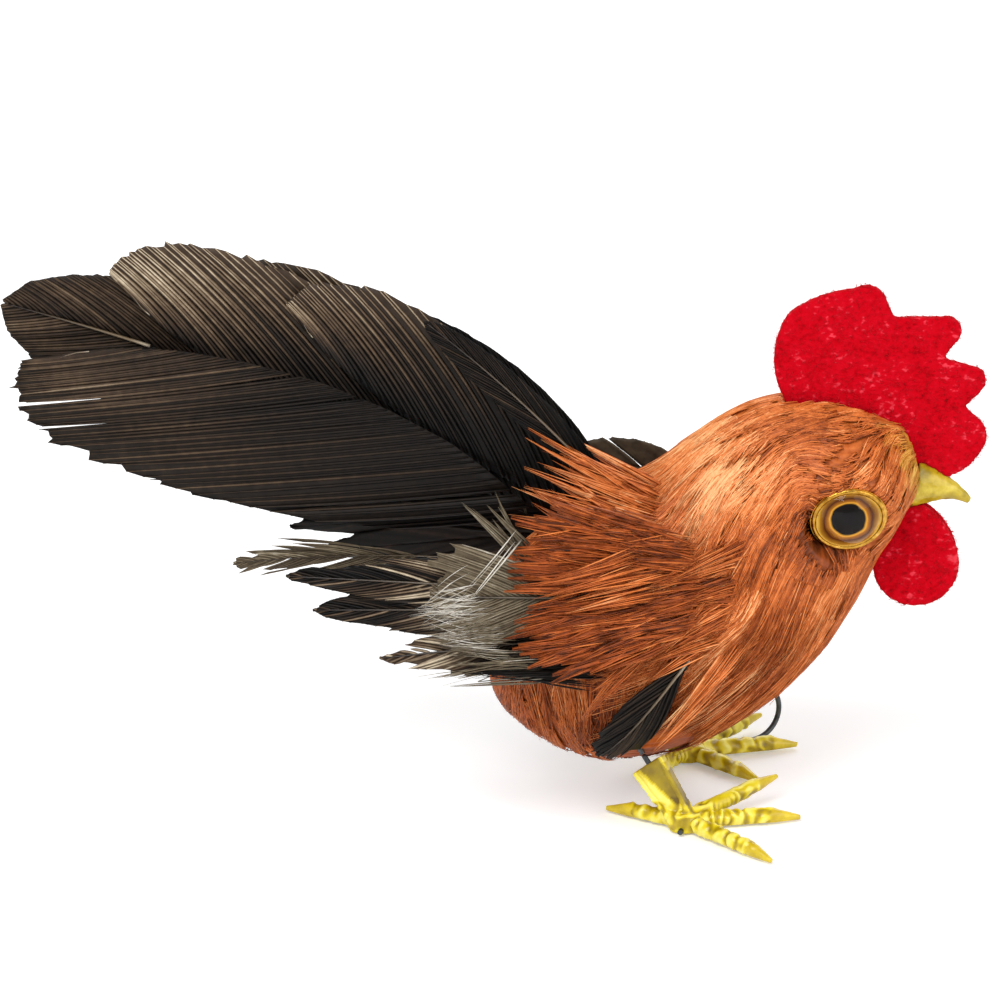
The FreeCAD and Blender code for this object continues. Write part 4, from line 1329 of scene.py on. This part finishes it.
class ROOSTER_OT_felt(bpy.types.Operator):
    """Cut the comb and the wattles from felt"""

    bl_idname = "rooster.felt"
    bl_label = "Comb and wattles"

    def execute(self, context):
        settings = context.scene.rooster_felt
        material = shared("felt", felt_material(tuple(settings.color)))
        for number, (node, (cut, held)) in enumerate(FELT_CUTS.items()):
            piece = remeshed_copy(node, node + "_felt", 0.28 * MM)
            smooth_by(piece, 0.5, 3)
            self.rough(piece, number)
            piece.data.materials.append(material)
            bpy.context.view_layer.update()
            for face in piece.data.polygons:
                face.use_smooth = True
            finish_piece(piece, "bird", "red_felt", (node,))
            fuzz = self.fuzz(piece, node, 400 + number, settings.fuzz if node == "comb" else settings.fuzz // 3)
            fuzz.data.materials.clear()
            fuzz.data.materials.append(material)
            finish_piece(fuzz, "bird", "red_felt")
            cut_area(node)
        return {"FINISHED"}

    def rough(self, piece, seed):
        """Small uneven lumps, as in needled felt."""
        mesh = piece.data
        points = np.zeros(len(mesh.vertices) * 3)
        normals = np.zeros(len(mesh.vertices) * 3)
        mesh.vertices.foreach_get("co", points)
        mesh.vertex_normals.foreach_get("vector", normals)
        points = points.reshape(-1, 3)
        normals = normals.reshape(-1, 3)
        lumps = smooth_noise(points, 3200, seed) - 0.5 + 0.6 * (smooth_noise(points, 7800, seed + 9) - 0.5)
        points = points + normals * (lumps * 0.16 * MM)[:, None]
        mesh.vertices.foreach_set("co", points.ravel())
        mesh.update()

    def fuzz(self, piece, node, seed, count):
        """Loose fibres that stand off the felt."""
        rng = np.random.default_rng(seed)
        mesh = piece.data
        points = np.zeros(len(mesh.vertices) * 3)
        normals = np.zeros(len(mesh.vertices) * 3)
        mesh.vertices.foreach_get("co", points)
        mesh.vertex_normals.foreach_get("vector", normals)
        pick = rng.integers(0, len(mesh.vertices), count)
        start = points.reshape(-1, 3)[pick]
        normal = normals.reshape(-1, 3)[pick]
        lean = unit(np.cross(normal, rng.normal(size=(count, 3))))
        steps = 4
        v = np.linspace(0, 1, steps)[None, :, None]
        reach = rng.uniform(0.35, 1.1, (count, 1, 1)) * MM
        stand = rng.uniform(0.05, 0.45, (count, 1, 1))
        bend = unit(rng.normal(size=(count, 3)))[:, None, :]
        path = start[:, None, :] + lean[:, None, :] * reach * v + normal[:, None, :] * reach * stand * v * (1.6 - v)
        path = path + bend * reach * 0.25 * v * v
        ups = np.broadcast_to(normal[:, None, :], path.shape)
        widths = 0.045 * MM * np.array([1, 1, 0.8, 0.4])[None, :] * rng.uniform(0.7, 1.4, (count, 1))
        return fibre_object(node + "_fuzz", path, ups, widths, 0.8, np.full(count, 0.5), None or bpy.data.materials[0])


# ------------------------------------------------------------------ face


def lathe(name, centre, way, profile, material, attributes=None, segments=72, loop=False):
    """A turned piece: profile of (radius, height) about an axis, closed at both poles or as a ring."""
    helper = np.array([0.0, 0.0, 1.0])
    one = unit(np.cross(helper, way))
    two = np.cross(way, one)
    turn = np.linspace(0, 2 * math.pi, segments, endpoint=False)
    ring = one * np.cos(turn)[:, None] + two * np.sin(turn)[:, None]
    rims = profile if loop else profile[1:-1]
    points = [centre + way * height + ring * radius for radius, height in rims]
    count = len(rims)
    index = np.arange(count * segments).reshape(count, segments)
    after = np.roll(index, -1, 1)
    if loop:
        below, above = index, np.roll(index, -1, 0)
        below_after, above_after = after, np.roll(after, -1, 0)
    else:
        below, above, below_after, above_after = index[:-1], index[1:], after[:-1], after[1:]
    quads = np.stack([below, below_after, above_after, above], -1).reshape(-1, 4)
    triangles = np.zeros((0, 3), int)
    values = [np.full(segments, place) for place in np.linspace(0, 1, count)]
    if not loop:
        points += [[centre + way * profile[0][1]], [centre + way * profile[-1][1]]]
        values += [[0.0], [1.0]]
        first = count * segments
        start = np.stack([np.full(segments, first), after[0], index[0]], -1)
        end = np.stack([np.full(segments, first + 1), index[-1], after[-1]], -1)
        triangles = np.concatenate([start, end])
    points = np.concatenate(points)
    spread = np.linalg.norm(np.cross(points - centre, way), axis=1)
    data = {"along": np.concatenate(values), "radius": spread * 1000}
    return mesh_object(name, points, quads, triangles, data, material)


def gilt():
    """Thin bright gilding with tiny pits."""
    material, tree, shader = new_material("Gilt")
    noise = object_noise(tree, 1400, 3.0)
    stops = ((0.3, (0.62, 0.42, 0.12)), (0.6, (0.86, 0.66, 0.28)), (0.8, (0.97, 0.85, 0.55)))
    tree.links.new(ramp(tree, noise, stops), shader.inputs["Base Color"])
    shader.inputs["Metallic"].default_value = 1.0
    shader.inputs["Roughness"].default_value = 0.22
    bump(tree, shader, noise, 0.00005, 0.6)
    return material


def iris():
    """Painted iris: black pupil, dark brown round it, amber at the edge; it also glows faintly in these colours,
    painted light standing in for the light that reaches it through the dome.
    """
    material, tree, shader = new_material("Painted iris")
    ring = math_node(tree, "DIVIDE", attribute(tree, "radius"), 4.3)
    uneven = math_node(tree, "MULTIPLY", math_node(tree, "SUBTRACT", object_noise(tree, 260, 2.0), 0.5), 0.30)
    mask = math_node(tree, "ADD", ring, uneven)
    stops = (
        (0.0, (0.02, 0.01, 0.01)), (0.45, (0.03, 0.012, 0.01)), (0.50, (0.80, 0.58, 0.18)),
        (0.55, (0.60, 0.36, 0.08)), (0.66, (0.26, 0.10, 0.04)), (0.80, (0.62, 0.42, 0.11)),
        (0.92, (0.95, 0.78, 0.34)), (1.0, (0.55, 0.36, 0.10)),
    )
    painted = ramp(tree, mask, stops)
    tree.links.new(painted, shader.inputs["Base Color"])
    # the iris glows in its own colours: painted light, not a lamp
    tree.links.new(painted, shader.inputs["Emission Color"])
    shader.inputs["Emission Strength"].default_value = 0.4
    shader.inputs["Roughness"].default_value = 0.5
    shader.inputs["Specular IOR Level"].default_value = 0.03
    return material


def clear_dome():
    """Clear glossy dome."""
    material, tree, shader = new_material("Clear dome")
    shader.inputs["Base Color"].default_value = (1.0, 0.99, 0.96, 1.0)
    shader.inputs["Transmission Weight"].default_value = 1.0
    shader.inputs["IOR"].default_value = 1.28
    smears = object_noise(tree, 420, 2.0)
    rough = ramp(tree, smears, ((0.55, (0.0, 0.0, 0.0)), (0.9, (0.06, 0.06, 0.06))))
    tree.links.new(rough, shader.inputs["Roughness"])
    return material


def yellow_horn():
    """Beak: dull yellow, greener in the hollows, gold flecks."""
    material, tree, shader = new_material("Beak yellow")
    cloud = object_noise(tree, 420, 4.0)
    fleck = object_noise(tree, 2600, 1.0)
    stops = ((0.3, (0.52, 0.44, 0.06)), (0.5, (0.73, 0.63, 0.13)), (0.72, (0.88, 0.80, 0.32)))
    tree.links.new(ramp(tree, cloud, stops), shader.inputs["Base Color"])
    rough = ramp(tree, fleck, ((0.4, (0.45, 0.45, 0.45)), (0.7, (0.2, 0.2, 0.2))))
    tree.links.new(rough, shader.inputs["Roughness"])
    bump(tree, shader, cloud, 0.00018, 0.8)
    return material


def soft_copy(node, name, voxel, rounds, lump, scale, seed):
    """A CAD node's shape with soft edges and a slightly uneven surface."""
    piece = remeshed_copy(node, name, voxel)
    smooth_by(piece, 0.5, rounds)
    points, normals = own_points(piece)
    push = (smooth_noise(points, scale, seed) - 0.5) * lump
    piece.data.vertices.foreach_set("co", (points + normals * push[:, None]).ravel())
    piece.data.update()
    piece.data.polygons.foreach_set("use_smooth", np.ones(len(piece.data.polygons), bool))
    return piece


def own_points(piece):
    """A piece's points and normals as arrays."""
    mesh = piece.data
    points = np.zeros(len(mesh.vertices) * 3)
    normals = np.zeros(len(mesh.vertices) * 3)
    mesh.vertices.foreach_get("co", points)
    mesh.vertex_normals.foreach_get("vector", normals)
    return points.reshape(-1, 3), normals.reshape(-1, 3)


class ROOSTER_OT_face(bpy.types.Operator):
    """Make the eyes and the beak"""

    bl_idname = "rooster.face"
    bl_label = "Eyes and beak"

    def execute(self, context):
        for side, out in (("right", -1), ("left", 1)):
            self.eye(side, out)
        beak = soft_copy("beak", "beak_horn", 0.16 * MM, 4, 0.10 * MM, 2600, 77)
        beak.data.materials.append(shared("horn", yellow_horn))
        finish_piece(beak, "bird", "beak_plastic", ("beak",))
        return {"FINISHED"}

    def eye(self, side, out):
        """Gilt rim, painted iris and clear dome."""
        centre, way, radius, rim, top, base = eye_frame(side, out)
        turn = np.linspace(0, 2 * math.pi, 20, endpoint=False)
        ring = [(radius + 0.16 * MM + 0.34 * MM * math.cos(a), rim + 0.34 * MM * math.sin(a)) for a in turn]
        gold = lathe(f"{side}_eye_rim", centre, way, ring, shared("gilt", gilt), loop=True)
        finish_piece(gold, "bird", "gilt")
        level = rim - 0.35 * MM
        painted = [(0.0, level)] + [(radius * r, level - 0.25 * MM * r) for r in (0.2, 0.4, 0.6, 0.8, 0.96)]
        painted += [(radius * 0.96, base - 0.3 * MM), (0.0, base - 0.3 * MM)]
        disc_piece = lathe(f"{side}_iris_paint", centre, way, painted[::-1], shared("iris", iris))
        finish_piece(disc_piece, "bird", "iris_paint", (f"{side}_eye_iris",))
        rise = top - rim
        ball = (radius ** 2 + rise ** 2) / (2 * rise)
        angles = np.linspace(0, math.asin(min(1.0, radius / ball)), 18)
        dome = [(ball * math.sin(a), top - ball * (1 - math.cos(a))) for a in angles]
        dome = [(0.0, dome[0][1])] + dome[1:] + [(radius * 0.985, base), (0.0, base)]
        glass = lathe(f"{side}_eye_dome", centre, way, dome[::-1], shared("dome", clear_dome))
        finish_piece(glass, "bird", "clear_dome", (f"{side}_eye_lens",))
        frame["nodes"][f"{side}_eye_cup"].data.materials.clear()
        frame["nodes"][f"{side}_eye_cup"].data.materials.append(shared("gilt", gilt))


# ------------------------------------------------------------------ feet


def foot_yellow():
    """Yellow moulded plastic, amber on the claws: painted shade turns the creases and the leg's channel olive, and
    painted highlights brighten the wrinkle tops and rims.
    """
    material, tree, shader = new_material("Foot yellow")
    cloud = object_noise(tree, 500, 4.0)
    uneven = math_node(tree, "MULTIPLY", math_node(tree, "SUBTRACT", cloud, 0.5), 0.5)
    mask = math_node(tree, "ADD", attribute(tree, "relief_light_and_shade"), uneven)
    stops = ((0.1, (0.42, 0.33, 0.02)), (0.45, (0.76, 0.66, 0.05)), (0.75, (0.92, 0.84, 0.12)), (1.0, (0.97, 0.93, 0.45)))
    claws = tree.nodes.new("ShaderNodeMix")
    claws.data_type = "RGBA"
    tree.links.new(attribute(tree, "claw"), claws.inputs["Factor"])
    tree.links.new(ramp(tree, mask, stops), claws.inputs["A"])
    amber = ramp(tree, cloud, ((0.3, (0.76, 0.65, 0.08)), (0.7, (0.92, 0.82, 0.16))))
    tree.links.new(amber, claws.inputs["B"])
    tree.links.new(claws.outputs["Result"], shader.inputs["Base Color"])
    shader.inputs["Roughness"].default_value = 0.32
    shader.inputs["Coat Weight"].default_value = 0.15
    bump(tree, shader, cloud, 0.00012, 0.6)
    return material


def steel():
    """Dark drawn wire."""
    material, tree, shader = new_material("Steel wire")
    noise = object_noise(tree, 900, 3.0)
    stops = ((0.3, (0.20, 0.21, 0.22)), (0.7, (0.40, 0.42, 0.43)))
    tree.links.new(ramp(tree, noise, stops), shader.inputs["Base Color"])
    shader.inputs["Metallic"].default_value = 0.9
    shader.inputs["Roughness"].default_value = 0.4
    return material


class ROOSTER_OT_feet(bpy.types.Operator):
    """Mould the scaled feet and finish the wires"""

    bl_idname = "rooster.feet"
    bl_label = "Feet and wires"

    def execute(self, context):
        for number, side in enumerate(("right", "left")):
            foot = remeshed_copy(f"{side}_foot", f"{side}_foot_moulding", 0.20 * MM)
            smooth_by(foot, 0.5, 3)
            self.scales(foot, 900 + number, side)
            foot.data.polygons.foreach_set("use_smooth", np.ones(len(foot.data.polygons), bool))
            foot.data.materials.append(shared("foot", foot_yellow))
            finish_piece(foot, f"{side}_leg", "foot_plastic", (f"{side}_foot",))
        for node in ("right_wire_root", "left_wire_root", "right_leg_wire", "left_leg_wire", "left_tie_wire"):
            frame["nodes"][node].data.materials.clear()
            frame["nodes"][node].data.materials.append(shared("steel", steel))
        return {"FINISHED"}

    def scales(self, foot, seed, side):
        """Uneven wrinkles across the toes, smooth claws."""
        points, normals = own_points(foot)
        low = points[points[:, 2] < 3.0 * MM]
        hub = (low.min(0) + low.max(0)) / 2
        hub = self.heel(points, hub)
        offset = points[:, :2] - hub
        away = np.linalg.norm(offset, axis=1)
        angle = np.arctan2(offset[:, 1], offset[:, 0])
        bins = np.linspace(-math.pi, math.pi, 61)
        place = np.digitize(angle, bins)
        near_ground = points[:, 2] < 6.5 * MM
        tips = []
        for index in range(1, 61):
            chosen = near_ground & (place == index)
            tips.append(away[chosen].max() if chosen.any() else 0.0)
        tips = np.array(tips)
        peaks = [i for i in range(60) if tips[i] > 8 * MM and tips[i] >= tips[i - 1] and tips[i] > tips[(i + 1) % 60]]
        claw = np.zeros(len(points))
        for peak in peaks:
            way = (bins[peak] + bins[peak + 1]) / 2
            close = np.abs((angle - way + math.pi) % (2 * math.pi) - math.pi) < 0.25
            claw = np.maximum(claw, np.where(close & near_ground, np.clip((away - tips[peak] + 3.6 * MM) / (0.4 * MM), 0, 1), 0))
        on_toe = np.clip((away - 1.6 * MM) / (0.8 * MM), 0, 1) * np.clip((4.4 * MM - points[:, 2]) / (1.0 * MM), 0, 1)
        on_toe = np.where(points[:, 2] < 0.25 * MM, 0.2, 1.0) * on_toe * (1 - claw)
        warp = 1.5 * (smooth_noise(points, 1500, seed) - 0.5) + 0.8 * np.sin(angle * 9)
        wave = np.sin(away / (0.42 * MM) + 4.0 * warp)
        ridge = np.sign(wave) * np.abs(wave) ** 0.6
        lumps = smooth_noise(points, 2600, seed + 5) - 0.5
        push = on_toe * (0.10 * MM * ridge + 0.16 * MM * lumps) + 0.08 * MM * lumps - 0.06 * MM * claw
        push = np.where(points[:, 2] < 0.3 * MM, 0, push)
        foot.data.vertices.foreach_set("co", (points + normals * push[:, None]).ravel())
        # wrinkle tops and lumps painted lighter, grooves darker, plus the channel: painted light and shade on the
        # relief
        relief_light_and_shade = 0.62 + on_toe * (0.30 * ridge + 0.3 * lumps) + self.channel(points, hub, side)
        for key, values in (("relief_light_and_shade", relief_light_and_shade), ("claw", claw)):
            layer = foot.data.attributes.new(key, "FLOAT", "POINT")
            layer.data.foreach_set("value", values.astype(np.float32))
        foot.data.update()

    def channel(self, points, hub, side):
        """Painted shade down the middle of the leg's channel, a painted highlight along its rims."""
        joints = frame["record"]["behaviour"]["joints"]
        bend = np.array(next(joint["pos_m"] for joint in joints if joint["name"] == side + "_leg_bend"))
        heel = np.array([hub[0], hub[1], 1.2 * MM])
        down = unit(heel - bend)
        out = np.array([-0.15, -1.0 if side == "right" else 1.0, 0.0])
        across = np.cross(down, unit(out - down * (out @ down)))
        offset = points - bend
        share = np.clip(offset @ down / np.linalg.norm(heel - bend), 0, 1)
        half = (2.3 - 0.7 * share) * MM
        beside = np.abs(offset @ across) / half
        on_leg = np.clip((points[:, 2] - 3.0 * MM) / (0.6 * MM), 0, 1)
        return on_leg * np.where(beside < 0.66, -0.34, np.where(beside > 0.80, 0.30, 0.0))

    def heel(self, points, fallback):
        """The heel's place on the ground: under the lower end of the leg."""
        leg = points[(points[:, 2] > 3.2 * MM) & (points[:, 2] < 4.0 * MM)]
        return leg[:, :2].mean(0) if len(leg) else fallback[:2]


# ------------------------------------------------------------------ stage


class ROOSTER_OT_stage(bpy.types.Operator):
    """Set the floor, the studio light and the camera"""

    bl_idname = "rooster.stage"
    bl_label = "Stage"

    def execute(self, context):
        settings = context.scene.rooster_stage
        low, high = CAD_BOX
        self.floor()
        self.lights()
        self.world(context)
        camera = bpy.data.cameras.new("Camera")
        camera.sensor_width = 36.0
        camera.lens = 36.0 * settings.distance / 0.1273
        camera.clip_start = 0.01
        body = bpy.data.objects.new("Camera", camera)
        context.scene.collection.objects.link(body)
        aim = Vector((-0.02546, 0.0, 0.0402))
        back = Vector((0, -math.cos(settings.elevation), math.sin(settings.elevation)))
        body.location = aim + back * settings.distance
        body.rotation_mode = "QUATERNION"
        body.rotation_quaternion = (-back).to_track_quat("-Z", "Y")
        context.scene.camera = body
        context.scene.view_settings.view_transform = "Standard"
        return {"FINISHED"}

    def floor(self):
        """A plain pale floor."""
        deselect_all()
        bpy.ops.mesh.primitive_plane_add(size=6.0, location=(0, 0, -0.0002))
        floor = bpy.context.object
        floor.name = "floor"
        bpy.ops.object.transform_apply(location=True)
        material, tree, shader = new_material("Pale floor")
        noise = object_noise(tree, 3.0, 2.0)
        color = ramp(tree, noise, ((0.3, (0.955, 0.955, 0.955)), (0.7, (0.97, 0.97, 0.97))))
        tree.links.new(color, shader.inputs["Base Color"])
        shader.inputs["Roughness"].default_value = 0.9
        shader.inputs["Specular IOR Level"].default_value = 0.1
        path = tree.nodes.new("ShaderNodeLightPath")
        seen = math_node(tree, "MULTIPLY", path.outputs["Is Camera Ray"], 0.22)
        glow = tree.nodes.new("ShaderNodeEmission")
        tree.links.new(seen, glow.inputs["Strength"])
        both = tree.nodes.new("ShaderNodeAddShader")
        tree.links.new(shader.outputs[0], both.inputs[0])
        tree.links.new(glow.outputs[0], both.inputs[1])
        output = next(node for node in tree.nodes if node.type == "OUTPUT_MATERIAL")
        tree.links.new(both.outputs[0], output.inputs[0])
        floor.data.materials.append(material)
        floor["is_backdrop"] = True

    def lights(self):
        """A broad key from the upper left in front, a weaker fill and a rim from behind."""
        spots = (
            ("key", (-0.35, -0.65, 0.85), 0.7, 9.0),
            ("fill", (0.75, -0.55, 0.45), 0.8, 3.5),
            ("rim", (0.1, 0.7, 0.6), 0.7, 3.0),
        )
        for name, place, size, power in spots:
            light = bpy.data.lights.new(name, "AREA")
            light.size = size
            light.energy = power
            lamp = bpy.data.objects.new(name, light)
            lamp.location = place
            aim = Vector((-0.02, 0, 0.03)) - lamp.location
            lamp.rotation_mode = "QUATERNION"
            lamp.rotation_quaternion = aim.to_track_quat("-Z", "Y")
            bpy.context.scene.collection.objects.link(lamp)

    def world(self, context):
        """Even soft light from all round; white where the camera or a mirror sees it."""
        world = bpy.data.worlds.new("Studio")
        context.scene.world = world
        world.use_nodes = True
        tree = world.node_tree
        background = tree.nodes["Background"]
        path = tree.nodes.new("ShaderNodeLightPath")
        seen = math_node(tree, "MAXIMUM", path.outputs["Is Camera Ray"], path.outputs["Is Transmission Ray"])
        strength = math_node(tree, "ADD", math_node(tree, "MULTIPLY", seen, 0.45), 0.55)
        background.inputs["Color"].default_value = (1, 1, 1, 1)
        tree.links.new(strength, background.inputs["Strength"])


class ROOSTER_PT_panel(bpy.types.Panel):
    """The rooster's builders"""

    bl_label = "Rooster"
    bl_idname = "ROOSTER_PT_panel"
    bl_space_type = "VIEW_3D"
    bl_region_type = "UI"
    bl_category = "Rooster"

    def draw(self, context):
        layout = self.layout
        scene = context.scene
        for settings in (scene.rooster_plumage, scene.rooster_feathers, scene.rooster_felt, scene.rooster_stage):
            for name in settings.__annotations__:
                layout.prop(settings, name)
        for operator in OPERATORS:
            layout.operator(operator.bl_idname)


SETTINGS = {
    "rooster_plumage": RoosterPlumageSettings,
    "rooster_feathers": RoosterFeatherSettings,
    "rooster_felt": RoosterFeltSettings,
    "rooster_stage": RoosterStageSettings,
}
OPERATORS = (
    ROOSTER_OT_stage, ROOSTER_OT_plumage, ROOSTER_OT_tail, ROOSTER_OT_wings, ROOSTER_OT_loose,
    ROOSTER_OT_felt, ROOSTER_OT_face, ROOSTER_OT_feet,
)


def register():
    """Register the settings, the builders and the panel."""
    for kind in (*SETTINGS.values(), *OPERATORS, ROOSTER_PT_panel):
        bpy.utils.register_class(kind)
    for name, kind in SETTINGS.items():
        setattr(bpy.types.Scene, name, bpy.props.PointerProperty(type=kind))


def unregister():
    """Take them away again."""
    for name in SETTINGS:
        delattr(bpy.types.Scene, name)
    for kind in reversed((*SETTINGS.values(), *OPERATORS, ROOSTER_PT_panel)):
        bpy.utils.unregister_class(kind)


def write_sizes():
    """The CAD box and the visual model's box, as plain lists."""
    boxes = {"cad": CAD_BOX, "visual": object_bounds()}
    plain = {name: [list(low), list(high)] for name, (low, high) in boxes.items()}


def main():
    """Build everything in order."""
    register()
    bpy.ops.rooster.stage()
    bpy.ops.rooster.plumage()
    bpy.ops.rooster.tail()
    bpy.ops.rooster.wings()
    bpy.ops.rooster.loose()
    bpy.ops.rooster.felt()
    bpy.ops.rooster.face()
    bpy.ops.rooster.feet()
    write_sizes()


if __name__ == "__main__":
    main()
